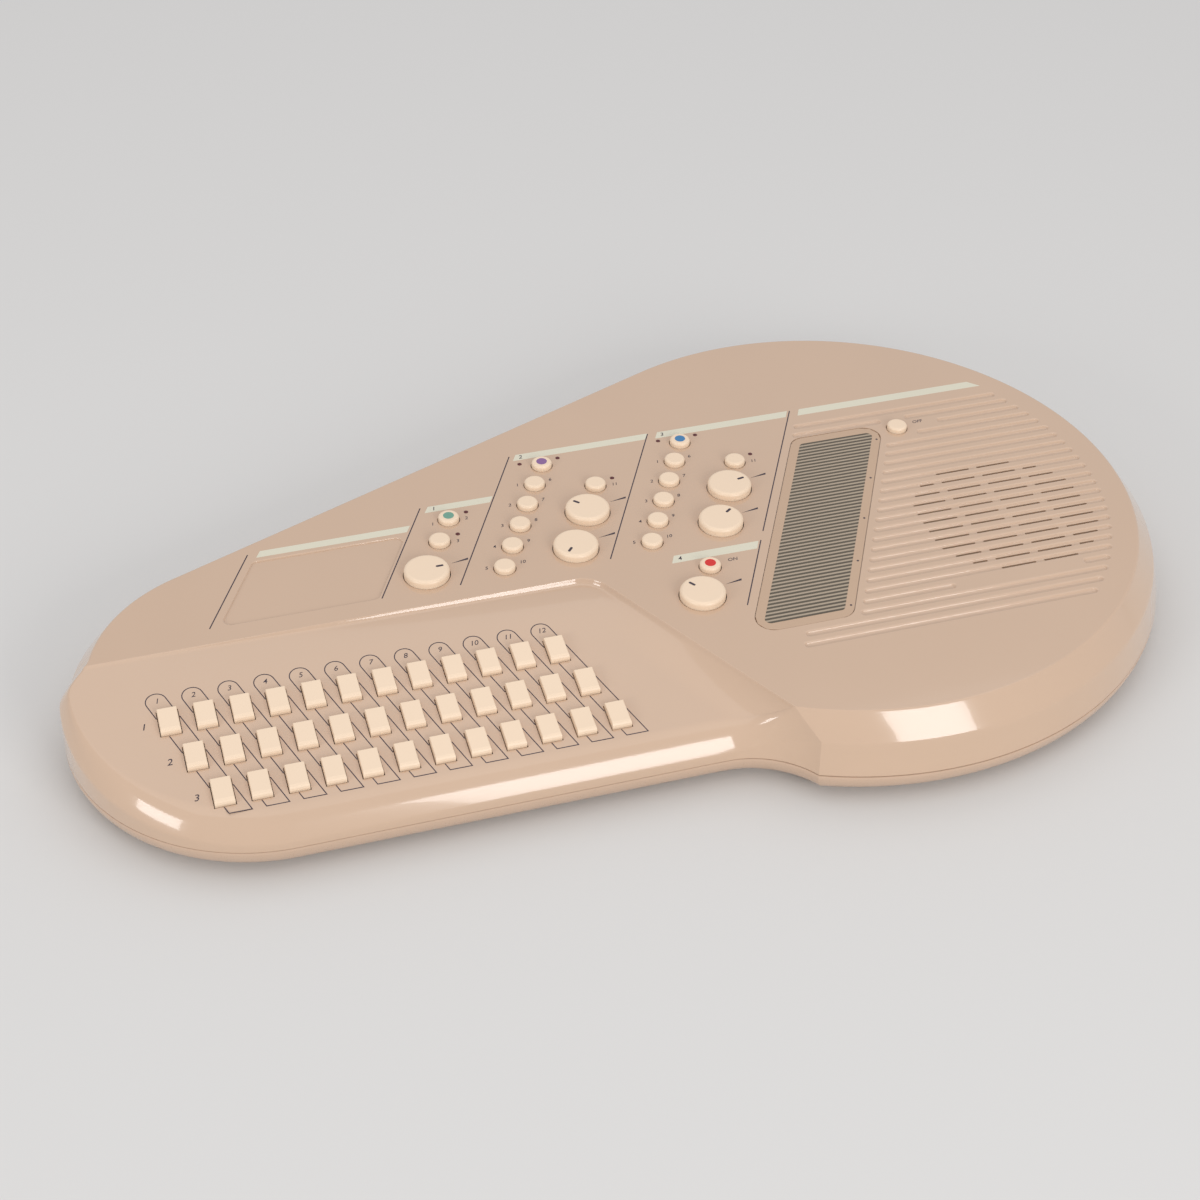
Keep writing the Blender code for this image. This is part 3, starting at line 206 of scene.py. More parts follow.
def only_faces_at(piece, z):
    """Open a piece in edit mode with only the faces at a height selected."""
    edit(piece)
    bpy.ops.mesh.select_all(action="DESELECT")
    done()
    corners = piece.data.vertices
    for face in piece.data.polygons:
        face.select = all(abs(corners[v].co.z - z) < SAME_HEIGHT for v in face.vertices)
    bpy.ops.object.mode_set(mode="EDIT")


def round_rim(piece, z, width, segments=3):
    """Round the rim of the flat end at a height."""
    only_faces_at(piece, z)
    bpy.ops.mesh.bevel(offset=width, segments=segments, affect="EDGES")
    done()


def pulled_up(points, faces, low, high):
    """Flat faces pulled up into closed plates."""
    mesh = bpy.data.meshes.new("plates")
    mesh.from_pydata([(x, y, low) for x, y in points], [], faces)
    piece = bpy.data.objects.new("plates", mesh)
    bpy.context.scene.collection.objects.link(piece)
    edit(piece)
    bpy.ops.mesh.select_all(action="SELECT")
    bpy.ops.mesh.extrude_region_move(TRANSFORM_OT_translate={"value": (0, 0, high - low)})
    bpy.ops.mesh.select_all(action="SELECT")
    bpy.ops.mesh.normals_make_consistent(inside=False)
    done()
    return piece


def slabs(outlines, low, high):
    points, faces = [], []
    for outline in outlines:
        faces.append(list(range(len(points), len(points) + len(outline))))
        points += outline
    return pulled_up(points, faces, low, high)


def ribbons(paths, width, low, high):
    """Thin raised bands along open lines of points."""
    points, faces = [], []
    for path in paths:
        first = len(points)
        spots = [Vector(spot) for spot in path]
        ways = [(after - before).normalized() for before, after in zip(spots, spots[1:])]
        for spot, into, out in zip(spots, [ways[0]] + ways, ways + [ways[-1]]):
            side = Vector((-(into + out).y, (into + out).x)).normalized()
            side *= width / 2 / side.dot(Vector((-into.y, into.x)))
            points += [tuple(spot - side), tuple(spot + side)]
        faces += [(k, k + 2, k + 3, k + 1) for k in range(first, len(points) - 2, 2)]
    return pulled_up(points, faces, low, high)


def crossed(start, stop, gap):
    """Where the straight line between two points runs inside a rectangle, as shares of its length."""
    enter, leave = 0.0, 1.0
    for axis in (0, 1):
        way = stop[axis] - start[axis]
        near, far = gap[axis] - start[axis], gap[axis + 2] - start[axis]
        if way:
            near, far = sorted((near / way, far / way))
            enter, leave = max(enter, near), min(leave, far)
        elif near > 0 or far < 0:
            return None
    return (enter, leave) if enter < leave else None


def outside(path, gaps):
    """The stretches of a line of points that lie outside a set of rectangles."""
    spots = [Vector(spot) for spot in path]
    stretches = [[spots[0]]]
    for start, stop in zip(spots, spots[1:]):
        for enter, leave in sorted(filter(None, (crossed(start, stop, gap) for gap in gaps))):
            stretches[-1].append(start.lerp(stop, enter))
            stretches.append([start.lerp(stop, leave)])
        stretches[-1].append(stop)
    return [line for line in stretches if (line[0] - line[-1]).length > SHORTEST_STROKE]


def writing(entries, height, low, high, thicken):
    """Numbers and short words as thin raised print.

    Each entry holds the text, its place and the side that it lines up on.
    """
    made = []
    for words, x, y, side in entries:
        deselect()
        bpy.ops.object.text_add(location=(x, y, (low + high) / 2))
        text = bpy.context.object
        text.data.body = words
        text.data.size = height / CAP_HEIGHT
        text.data.shear = LETTER_SLANT
        text.data.offset = thicken
        text.data.extrude = (high - low) / 2
        text.data.resolution_u = 3
        text.data.align_x, text.data.align_y = side, "CENTER"
        bpy.ops.object.convert(target="MESH")
        bpy.ops.object.transform_apply(location=True, rotation=True, scale=True)
        made.append(bpy.context.object)
    piece = joined(made)
    edit(piece, "VERT")
    bpy.ops.mesh.select_all(action="SELECT")
    bpy.ops.mesh.remove_doubles(threshold=SAME_POINT)
    bpy.ops.mesh.normals_make_consistent(inside=False)
    done()
    return piece


def copies(source, places):
    """One copy of a piece at each place, each with its own mesh, instead of the piece itself."""
    made = []
    for place in places:
        twin = source.copy()
        twin.data = source.data.copy()
        bpy.context.scene.collection.objects.link(twin)
        twin.data.transform(Matrix.Translation((*place, 0)))
        made.append(twin)
    bpy.data.objects.remove(source)
    return made


def joined(pieces):
    deselect()
    for piece in pieces:
        piece.select_set(True)
    bpy.context.view_layer.objects.active = pieces[0]
    if len(pieces) > 1:
        bpy.ops.object.join()
    return pieces[0]


def combine(piece, tool, operation="DIFFERENCE"):
    modifier = piece.modifiers.new(operation.lower(), "BOOLEAN")
    modifier.object = tool
    modifier.operation = operation
    modifier.solver = "EXACT"
    pick(piece)
    bpy.ops.object.modifier_apply(modifier=modifier.name)
    bpy.data.objects.remove(tool)


def smooth(piece, degrees=35):
    pick(piece)
    bpy.ops.object.shade_smooth_by_angle(angle=math.radians(degrees))
    modifier = piece.modifiers.new("even_faces", "WEIGHTED_NORMAL")
    modifier.mode = "FACE_AREA"
    modifier.keep_sharp = True
    bpy.ops.object.modifier_apply(modifier=modifier.name)


def put(piece, name, material, body=BODY, nodes=(), place=Matrix()):
    """Name a finished piece, give it its finish and stand it in its place."""
    piece.name = name
    piece.data.name = name
    piece.data.transform(PANEL_TO_STAND @ place)
    piece.data.materials.clear()
    piece.data.materials.append(material)
    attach(piece, body)
    if nodes:
        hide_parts(*nodes)
    return piece


# Finishes

CLOUD_SCALE = 14.0


def tree_of(name):
    material = bpy.data.materials.new(name)
    material.use_nodes = True
    nodes, links = material.node_tree.nodes, material.node_tree.links
    return material, nodes, links, nodes["Principled BSDF"]


def add_noise(nodes, links, scale, detail):
    spot = nodes.new("ShaderNodeTexCoord")
    noise = nodes.new("ShaderNodeTexNoise")
    noise.inputs["Scale"].default_value = scale
    noise.inputs["Detail"].default_value = detail
    links.new(spot.outputs["Object"], noise.inputs["Vector"])
    return noise.outputs["Fac"]


def add_range(nodes, links, value, low, high):
    reach = nodes.new("ShaderNodeMapRange")
    reach.inputs["To Min"].default_value = low
    reach.inputs["To Max"].default_value = high
    links.new(value, reach.inputs["Value"])
    return reach.outputs["Result"]


def add_bump(nodes, links, height, shader, distance, strength):
    bump = nodes.new("ShaderNodeBump")
    bump.inputs["Distance"].default_value = distance
    bump.inputs["Strength"].default_value = strength
    links.new(height, bump.inputs["Height"])
    links.new(bump.outputs["Normal"], shader.inputs["Normal"])


def moulded(name, colour, roughness, grain=900.0, spread=0.03, relief=0.00002, strength=0.12, metallic=0.0,
            polish=0.0):
    """Moulded plastic, or metal: an even colour with a faint cloud, and a fine skin."""
    material, nodes, links, shader = tree_of(name)
    cloud = add_noise(nodes, links, CLOUD_SCALE, 3.0)
    blend = nodes.new("ShaderNodeMix")
    blend.data_type = "RGBA"
    blend.inputs["A"].default_value = (*[part * (1 - spread) for part in colour], 1)
    blend.inputs["B"].default_value = (*[min(1.0, part * (1 + spread)) for part in colour], 1)
    links.new(cloud, blend.inputs["Factor"])
    links.new(blend.outputs["Result"], shader.inputs["Base Color"])
    shader.inputs["Metallic"].default_value = metallic
    shader.inputs["Coat Weight"].default_value = polish
    shader.inputs["Coat Roughness"].default_value = 0.04
    grains = add_noise(nodes, links, grain, 4.0)
    gloss = add_range(nodes, links, grains, roughness * 0.85, roughness * 1.2)
    links.new(gloss, shader.inputs["Roughness"])
    add_bump(nodes, links, grains, shader, relief, strength)
    return material


case_plastic = moulded("case_plastic", (0.615, 0.432, 0.302), 0.14, strength=0.04, polish=0.7)
base_plastic = moulded("base_plastic", (0.60, 0.425, 0.305), 0.28, grain=1500.0, strength=0.25, polish=0.3)
ivory_plastic = moulded("ivory_plastic", (0.885, 0.69, 0.505), 0.34, grain=700.0)
plate_tan = moulded("plate_tan", (0.555, 0.385, 0.262), 0.42, grain=1800.0)
plate_field = moulded("plate_field", (0.42, 0.335, 0.245), 0.38, grain=1800.0)
plate_line = moulded("plate_line", (0.098, 0.078, 0.052), 0.45, grain=1800.0)
ink = moulded("dark_ink", (0.045, 0.03, 0.045), 0.5)
pale_ink = moulded("pale_ink", (0.72, 0.68, 0.54), 0.42)
lamp_red = moulded("lamp_red", (0.10, 0.015, 0.015), 0.2)
dot_green = moulded("dot_green", (0.16, 0.35, 0.26), 0.35)
dot_purple = moulded("dot_purple", (0.25, 0.12, 0.30), 0.35)
dot_blue = moulded("dot_blue", (0.045, 0.20, 0.42), 0.35)
dot_red = moulded("dot_red", (0.68, 0.02, 0.015), 0.35)
black_plastic = moulded("socket_plastic", (0.018, 0.018, 0.02), 0.4)
steel = moulded("plated_steel", (0.55, 0.55, 0.56), 0.3, metallic=1.0)
board_green = moulded("board_green", (0.03, 0.12, 0.05), 0.4)
dome_rubber = moulded("dome_rubber", (0.30, 0.30, 0.28), 0.7)
cell_wrap = moulded("cell_wrap", (0.10, 0.10, 0.13), 0.35, metallic=0.4)
cone_paper = moulded("cone_paper", (0.018, 0.018, 0.018), 0.85, grain=2500.0, relief=0.00008, strength=0.5)
basket_steel = moulded("basket_steel", (0.14, 0.14, 0.145), 0.42, metallic=1.0)


# The outline of the case and its edges

def polar(point, centre):
    """Distance and angle of a point as seen from a centre."""
    run, rise = point[0] - centre[0], point[1] - centre[1]
    return math.hypot(run, rise), math.atan2(rise, run)


def from_centre(centre, radius, angle, z):
    return Vector((centre[0] + radius * math.cos(angle), centre[1] + radius * math.sin(angle), z))


def far_angle():
    """The angle, round either end, at which the straight far side touches it."""
    span = ROUND_CENTRE - TAIL_CENTRE
    return math.atan2(span.y, span.x) + math.asin((ROUND_RADIUS - TAIL_RADIUS) / span.length) + math.pi / 2


def corner_point(z, inset):
    """The waist's sharp corner at a height, drawn in from both sides."""
    for low, high in zip(CORNER_LINE, CORNER_LINE[1:]):
        if z <= high[0]:
            break
    corner = Vector(low[1:]).lerp(Vector(high[1:]), (z - low[0]) / (high[0] - low[0]))
    inward = (ROUND_CENTRE - corner).normalized()
    aside = (corner - WAIST_CENTRE).normalized()
    return corner + (inward + aside) * inset / (1 + inward.dot(aside))


def crest_profile(away, run, drop, climb):
    """Height, never above 0, at a distance from a crest: soft there, and easing into the slope below."""
    def curve(share):
        return -drop + climb * (1 - share) + (drop - climb) * (1 - share) ** 2
    bend = min(CREST_ROUNDING, run / 2) / run
    share = away / run
    if share >= bend:
        return curve(share)
    slope = -(climb + 2 * (drop - climb) * (1 - bend))
    t = share / bend
    return curve(bend) * (3 * t ** 2 - 2 * t ** 3) + slope * bend * (t ** 3 - t ** 2)


def lip_profile(away, drop):
    """The steep lip just below the crest: a short rounding at its top and a long one at its foot."""
    share = min(1.0, away / STEP_RUN)
    return -drop * (10 * share ** 2 - 20 * share ** 3 + 15 * share ** 4 - 4 * share ** 5)


def rung_share(step):
    """How far along a rung from crest to valley a step lies."""
    return (step / RUNGS) ** RUNG_CROWDING


def plane_z(y):
    """Height of the chord area's plane."""
    return CHORD_LINE.y - (CHORD_LINE.x - y) * math.tan(CHORD_SLOPE)


def chord_z(y):
    """Height of the chord area at a distance from the player."""
    if y >= CREASE_Y:
        return 0.0
    if y >= CHORD_START_Y:
        away = CREASE_Y - y
        rest = -plane_z(CHORD_START_Y) - TAIL_STEP_DROP
        climb = CREASE_RUN * math.tan(CHORD_SLOPE)
        return lip_profile(away, TAIL_STEP_DROP) + crest_profile(away, CREASE_RUN, rest, climb)
    return plane_z(y)


def roll_inset(shrink, near=1.0):
    return TAIL_INSET + (ROLL_INSET - TAIL_INSET) * near - INNER_TIGHTENING * shrink


def roll_profile(t, shrink, height, near=1.0):
    """Inset and share of the height of the soft edge round the chord area: flank, band and shoulder.

    The shoulder is wide where near is 1, on the player's side, and crisp where it is 0, at the tail's end.
    """
    if shrink >= WALL:
        turn = t * math.pi / 8
        return roll_inset(shrink, near) * (1 - math.cos(turn)), math.sin(turn)
    spread = CRISP_SHARE + (1 - CRISP_SHARE) * near
    top = Vector((roll_inset(0, near), 0.0))
    turn_over = top - Vector((1, near * math.tan(CHORD_SLOPE))) * SHOULDER_FLAT * spread
    band_top = turn_over - Vector((1, BAND_SLOPES[0])) * SHOULDER_STEEP * spread
    band_middle = band_top - Vector((BAND_WIDTH / 2, BAND_WIDTH / 2 * BAND_SLOPES[0]))
    band_foot = band_middle - Vector((BAND_WIDTH / 2, BAND_WIDTH / 2 * BAND_SLOPES[1]))
    knee = band_foot - Vector((KNEE, KNEE * BAND_SLOPES[1]))
    flank_top = knee - Vector((KNEE / 4, KNEE_DROP))
    if t <= 1:
        spot = Vector((0.0, -height)).lerp(flank_top, t)
    elif t <= 2:
        spot = bowed(flank_top, knee, band_foot, t - 1)
    elif t <= 3:
        spot = bowed(band_foot, band_middle, band_top, t - 2)
    else:
        spot = bowed(band_top, turn_over, top, t - 3)
    return spot.x, 1 + spot.y / height


def tail_edge(angle):
    """Shares of the panel's chamfer, and of the near side's roll, in the edge at an angle round the tail."""
    share = min(1.0, max(0.0, (CHAMFER_END - angle) / CHAMFER_FADE))
    return share ** 2 * (3 - 2 * share), max(0.0, -math.sin(angle))


def tail_rim(angle, shrink):
    """Distance from the tail's centre to the end of its edge, on the panel or the chord area."""
    chamfered, near = tail_edge(angle)
    return TAIL_RADIUS - shrink - chamfered * RIM_INSET - (1 - chamfered) * roll_inset(shrink, near)


def rim_angle(y, shrink):
    """The angle round the tail at which the rim is at a distance from the player, found in a few tries."""
    angle = math.pi
    for attempt in range(12):
        angle = math.pi - math.asin((y - TAIL_CENTRE.y) / tail_rim(angle, shrink))
    return angle


def tail_angles(shrink):
    """Where the loops have their points round the tail: close together below the crease."""
    far, crease, chord = far_angle(), rim_angle(CREASE_Y, shrink), rim_angle(CHORD_START_Y, shrink)
    near = 1.5 * math.pi
    angles = [far + (crease - far) * i / TAIL_FAR_STEPS for i in range(TAIL_FAR_STEPS + 1)]
    angles += [rim_angle(CREASE_Y - CREASE_RUN * rung_share(i), shrink) for i in range(1, RUNGS)]
    return angles + [chord + (near - chord) * i / TAIL_NEAR_STEPS for i in range(TAIL_NEAR_STEPS + 1)]


def bowed(first, control, last, t):
    """A point on the curve that leaves one point and reaches another by way of a third."""
    return first.lerp(control, t).lerp(control.lerp(last, t), t)


def edge_profile(t):
    """Inset and height of the wall, chamfer and soft edges: t is 0 at the joint and 4 on the panel."""
    soft, slope = EDGE_SOFTENING, CHAMFER_DROP / CHAMFER_INSET
    wall_top = Vector((WALL_DRAFT - 0.3 * soft, -CHAMFER_DROP - soft))
    low = Vector((WALL_DRAFT + 0.6 * soft, -CHAMFER_DROP + 0.6 * soft * slope))
    high = Vector((PANEL_INSET - soft, -0.6 * soft * slope))
    panel = Vector((RIM_INSET, 0.0))
    if t <= 1:
        return Vector((0.0, SEAM_Z)).lerp(wall_top, t)
    if t <= 2:
        return bowed(wall_top, Vector((WALL_DRAFT, -CHAMFER_DROP)), low, t - 1)
    if t <= 3:
        return low.lerp(high, t - 2)
    return bowed(high, Vector((PANEL_INSET - 0.5 * soft, 0.0)), panel, t - 3)


def round_stations(corner, radius, z):
    """Points round the big round end, from the waist's corner to the straight far side."""
    reach, start = polar(corner, ROUND_CENTRE)
    points = []
    for i in range(ROUND_STEPS + 1):
        ease = max(0.0, 1 - i / CORNER_REACH) ** 2
        angle = start + (far_angle() - start) * i / ROUND_STEPS
        points.append(from_centre(ROUND_CENTRE, radius + (reach - radius) * ease, angle, z))
    return points


def waist_point(corner, radius, away, z):
    """A point on the waist's curve, at a share of the way from the corner to the straight near side."""
    reach, stop = polar(corner, WAIST_CENTRE)
    angle = math.pi / 2 + (stop - math.pi / 2) * (1 - away)
    return from_centre(WAIST_CENTRE, radius * away + reach * (1 - away), angle, z)


def case_ring(t, shrink, drop, lip=0.0):
    """One loop round the top shell, from the waist corner round the far side and back to the waist."""
    inset, z = edge_profile(t)
    shrink += lip
    corner = corner_point(z, shrink)
    z = max(z - drop, SEAM_Z)
    panel_rise = (z - SEAM_Z) / (-drop - SEAM_Z)
    points = round_stations(corner, ROUND_RADIUS - inset - shrink, z)
    for angle in tail_angles(shrink):
        share, near = tail_edge(angle)
        top_y = TAIL_CENTRE.y + tail_rim(angle, shrink) * math.sin(angle)
        height = chord_z(top_y) - drop - SEAM_Z
        rolled, rise = roll_profile(t, shrink, height, near)
        radius = TAIL_RADIUS - shrink - share * inset - (1 - share) * rolled
        rise = share * panel_rise + (1 - share) * rise
        points.append(from_centre(TAIL_CENTRE, radius, angle, SEAM_Z + height * rise))
    low_end = Vector((FOLD_X, NEAR_Y + roll_inset(shrink) + shrink))
    near_top = chord_z(low_end.y)
    height = near_top - drop - SEAM_Z
    rolled, rise = roll_profile(t, shrink, height)
    points.append(Vector((FOLD_X, NEAR_Y + rolled + shrink, SEAM_Z + height * rise)))
    top_corner = corner_point(0.0, shrink)
    run = (top_corner - low_end).length
    climb = (top_corner.y - low_end.y) * math.tan(CHORD_SLOPE)
    for step in range(RUNGS - 1, 0, -1):
        away = rung_share(step)
        height = crest_profile(run * away, run, -near_top, climb) - drop - SEAM_Z
        rolled, rise = roll_profile(t, shrink, height)
        z = SEAM_Z + height * (away * rise + (1 - away) * panel_rise)
        points.append(waist_point(corner, WAIST_RADIUS + shrink + rolled, away, z))
    return points


def bridge(mesh, lower, upper):
    for i in range(len(lower)):
        j = (i + 1) % len(lower)
        mesh.faces.new((lower[i], lower[j], upper[j], upper[i]))


def case_skin(mesh, levels, lips, shrink, drop):
    """The top shell's outer or inner skin: edge bands, flat panel, chord area and the fold between them."""
    rings = []
    for i, level in enumerate(levels):
        lip = lips[i] if i < len(lips) else 0.0
        rings.append([mesh.verts.new(point) for point in case_ring(level, shrink, drop, lip)])
    for lower, upper in zip(rings, rings[1:]):
        bridge(mesh, lower, upper)
    top = rings[-1]
    crease = ROUND_STEPS + 1 + TAIL_FAR_STEPS
    chord = crease + RUNGS
    fold = chord + TAIL_NEAR_STEPS + 1

    apex = Vector((CREASE_BEND_X, CHORD_START_Y, 0.0))
    bend_centre = (CREASE_BEND_X, CREASE_Y - CREASE_BEND_RADIUS)
    corner, low_end = top[0].co.copy(), top[fold].co.copy()
    reach, turn = polar(corner, bend_centre)
    touch = turn + math.acos(CREASE_BEND_RADIUS / reach)
    bend_start = Vector((CREASE_BEND_X, CREASE_Y, 0.0))
    left_crest, left_valley = top[crease].co, top[chord].co

    # Each rung's crest and valley, its share of the waist's bow, and the drop of its lip
    pairs = []
    for i in range(1, CREASE_STEPS):
        share = i / CREASE_STEPS
        lip = TAIL_STEP_DROP + (STEP_DROP - TAIL_STEP_DROP) * share
        pairs.append((left_crest.lerp(bend_start, share), left_valley.lerp(apex, share), 0.0, lip))
    for i in range(BEND_STEPS + 1):
        angle = math.pi / 2 + (touch - math.pi / 2) * i / BEND_STEPS
        pairs.append((from_centre(bend_centre, CREASE_BEND_RADIUS, angle, 0.0), apex, 0.0, STEP_DROP))
    bend_end = pairs[-1][0]
    for i in range(1, FOLD_STEPS):
        share = i / FOLD_STEPS
        lip = STEP_DROP * (1 - share) ** 2
        pairs.append((bend_end.lerp(corner, share), apex.lerp(low_end, share), share, lip))

    rim = [top[0]] + top[:fold - 1:-1]
    rungs = [top[crease:chord + 1]]
    shared_valley = None
    for crest, valley, share, lip in pairs:
        run = math.hypot(crest.x - valley.x, crest.y - valley.y)
        fall = -chord_z(valley.y)
        climb = (crest.y - valley.y) * math.tan(CHORD_SLOPE)
        rung = []
        for step in range(RUNGS + 1):
            part = rung_share(step)
            if step == RUNGS and valley is apex and shared_valley:
                rung.append(shared_valley)
                continue
            spot = crest.lerp(valley, part)
            spot.z = lip_profile(run * part, lip) + crest_profile(run * part, run, fall - lip, climb) - drop
            if step not in (0, RUNGS):
                bow = rim[step].co - corner.lerp(low_end, part)
                bow.z = 0.0
                spot += bow * share ** 2
            rung.append(mesh.verts.new(spot))
        if valley is apex:
            shared_valley = rung[-1]
        rungs.append(rung)
    rungs.append(rim)
    for first, second in zip(rungs, rungs[1:]):
        for step in range(RUNGS):
            corners = (first[step], first[step + 1], second[step + 1], second[step])
            mesh.faces.new(list(dict.fromkeys(corners)))
    mesh.faces.new(top[:crease + 1] + [rung[0] for rung in rungs[1:-1]])
    valley_line = []
    for rung in rungs[1:-1]:
        if rung[-1] not in valley_line:
            valley_line.append(rung[-1])
    mesh.faces.new(top[chord:fold + 1] + valley_line[::-1])
    return rings[0]


def from_bmesh(mesh, name):
    bmesh.ops.recalc_face_normals(mesh, faces=mesh.faces[:])
    data = bpy.data.meshes.new(name)
    mesh.to_mesh(data)
    mesh.free()
    piece = bpy.data.objects.new(name, data)
    bpy.context.scene.collection.objects.link(piece)
    return piece


# Where things sit

def slanted(x, y, rise):
    """The point that lies further from the player by a rise, along the slant of the columns."""
    return (x + rise * math.tan(SLANT), y + rise)


def rounded_outline(corners, radius, steps=8):
    points = []
    for i, corner in enumerate(corners):
        corner = Vector(corner)
        to_last = (Vector(corners[i - 1]) - corner).normalized()
        to_next = (Vector(corners[(i + 1) % len(corners)]) - corner).normalized()
        half = to_last.angle(to_next) / 2
        centre = corner + (to_last + to_next).normalized() * radius / math.sin(half)
        start = corner + to_last * radius / math.tan(half) - centre
        sweep = start.angle_signed(corner + to_next * radius / math.tan(half) - centre)
        points += [tuple(centre + Matrix.Rotation(-sweep * k / steps, 2) @ start) for k in range(steps + 1)]
    return points


def leaning_panel(near, width, length, corner, grow=0.0):
    """A slanted outline with round corners, from the middle of its near side."""
    near_x, near_y = near[0] - grow * math.tan(SLANT), near[1] - grow
    side = grow / math.cos(SLANT)
    rise = length + 2 * grow
    left, right = near_x - width / 2 - side, near_x + width / 2 + side
    corners = [(left, near_y), (right, near_y), slanted(right, near_y, rise), slanted(left, near_y, rise)]
    return rounded_outline(corners, corner + grow)


def stadium(left, right, y, half, steps=8):
    points = []
    for centre_x, start in ((right - half, -90), (left + half, 90)):
        for k in range(steps + 1):
            angle = math.radians(start + 180 * k / steps)
            points.append((centre_x + half * math.cos(angle), y + half * math.sin(angle)))
    return points


def column(start, pitch, count):
    return [slanted(*start, pitch * k) for k in range(count)]


KEY_PLACES = [(FIRST_KEY[0] + KEY_PITCH * (k + row / 2), FIRST_KEY[1] - KEY_ROW_PITCH * row)
              for row in range(KEY_ROWS) for k in range(KEY_COLUMNS)]
KNOBS = {
    "chord_volume_knob": (-79.9, KNOB_ROW_Y),
    "rhythm_volume_knob": (0.0, KNOB_ROW_Y),
    "tempo_knob": slanted(0.0, KNOB_ROW_Y, KNOB_RISE),
    "voice_volume_knob": (80.3, KNOB_ROW_Y),
    "sustain_knob": slanted(80.3, KNOB_ROW_Y, KNOB_RISE),
    "master_volume_knob": (51.4, -11.0),
}
# Where each pointer stands at rest, in degrees
POINTERS = {
    "chord_volume_knob": 0, "rhythm_volume_knob": 229, "tempo_knob": 134, "voice_volume_knob": 37,
    "sustain_knob": 11, "master_volume_knob": 125,
}
BUTTONS = {
    "chord_mode_buttons": column((-67.3, 68.4), MODE_BUTTON_PITCH, 2),
    "rhythm_buttons": column((-40.0, 37.9), BUTTON_PITCH, 6) + [(25.6, 93.8)],
    "voice_buttons": column((40.0, 37.9), BUTTON_PITCH, 6) + [(105.8, 93.8)],
    "power_button": [(62.7, 10.1)],
    "prompt_button": [(205.1, 100.2)],
}
ALL_BUTTONS = [spot for group in BUTTONS.values() for spot in group]
PLATE = ((92.4, -46.5), 54.8, 152.5)
RECESS = ((-148.2, 31.8), 81.0, 47.0)
SPEAKER = Vector((231.4, 12.1))
SCREW_CIRCLE = 150
CASE_SCREWS = [(14.0, -78.0), (-238.0, -30.0), (-150.0, 85.0)]
for degrees in (-95, -30, 35, 110):
    angle = math.radians(degrees)
    away = Vector((SCREW_CIRCLE * math.cos(angle), SCREW_CIRCLE * math.sin(angle)))
    CASE_SCREWS.append(tuple(ROUND_CENTRE + away))
DOOR_SCREW = (-20.0, 28.75)
FEET = [(-222.0, -38.0), (-198.0, 66.0), (38.0, -72.0), (235.0, -45.0), (200.0, 158.0)]
SOCKETS = (122.0, 144.0, 166.0)

# Top shell
shell = bmesh.new()
outer_rim = case_skin(shell, OUTER_LEVELS, OUTER_LIPS, 0, 0)
inner_rim = case_skin(shell, INNER_LEVELS, (), WALL, WALL)
bridge(shell, outer_rim, inner_rim)
top_shell = from_bmesh(shell, "top_shell")

# The sockets' niche in the far wall: its walls are joined to the shell, then it is cut out
niche_low, niche_high = SOCKET_Z - NICHE_HALF_HEIGHT, SOCKET_Z + NICHE_HALF_HEIGHT
niche_reach = ROUND_RADIUS - WALL_DRAFT - GAP
niche_half = NICHE_WIDTH / 2 + WALL
niche_outline = [(ROUND_CENTRE.x + niche_half, NICHE_Y - WALL)]
for k in range(NICHE_STEPS + 1):
    x = niche_half * (1 - 2 * k / NICHE_STEPS)
    niche_outline.append((ROUND_CENTRE.x + x, ROUND_CENTRE.y + math.sqrt(niche_reach ** 2 - x ** 2)))
niche_outline.append((ROUND_CENTRE.x - niche_half, NICHE_Y - WALL))
combine(top_shell, slabs([niche_outline], niche_low - WALL, niche_high + WALL), "UNION")
combine(top_shell, block((ROUND_CENTRE.x, NICHE_Y + 10), NICHE_WIDTH, 20, niche_low, niche_high))
barrels = [cylinder(SOCKET_RADIUS + GAP, CUT_LOW, CUT_HIGH, 32) for x in SOCKETS]
for barrel, x in zip(barrels, SOCKETS):
    barrel.data.transform(Matrix.Translation((x, NICHE_Y, SOCKET_Z)) @ Matrix.Rotation(-math.pi / 2, 4, "X"))
combine(top_shell, joined(barrels))

# Openings of the keys, knobs, buttons and touch plate
key_opening = block((0, 0), KEY_WIDTH + 2 * CLEARANCE, KEY_DEPTH + 2 * CLEARANCE, CUT_LOW, CUT_HIGH)
key_openings = joined(copies(key_opening, KEY_PLACES))
key_openings.data.transform(CHORD_PLACE)
combine(top_shell, key_openings)
holes = copies(cylinder(KNOB_RADIUS + CLEARANCE, CUT_LOW, CUT_HIGH, 72), KNOBS.values())
holes += copies(cylinder(BUTTON_RADIUS + CLEARANCE, CUT_LOW, CUT_HIGH, 48), ALL_BUTTONS)
combine(top_shell, joined(holes))
plate_seat = leaning_panel(*PLATE, PLATE_CORNER, GAP)
combine(top_shell, slabs([plate_seat], PLATE_TOP - PLATE_THICKNESS - GAP, CUT_HIGH))


def hollow_out(outlines, steps):
    """Cut outlines into the panel, going inward and down in steps from its surface."""
    cutter = slabs(outlines, 0.0, CUT_HIGH)
    only_faces_at(cutter, 0.0)
    for inward, down in steps:
        bpy.ops.mesh.inset(thickness=inward, depth=down, use_even_offset=True)
    done()
    combine(top_shell, cutter)


RECESS_CORNER = 4.0
RECESS_SHOULDER = 0.5
RECESS_STEPS = [(0.3, 0.15), (0.25, 0.35), (0.1, 0.4)]
hollow_out([leaning_panel(*RECESS, RECESS_CORNER, RECESS_SHOULDER)], RECESS_STEPS)

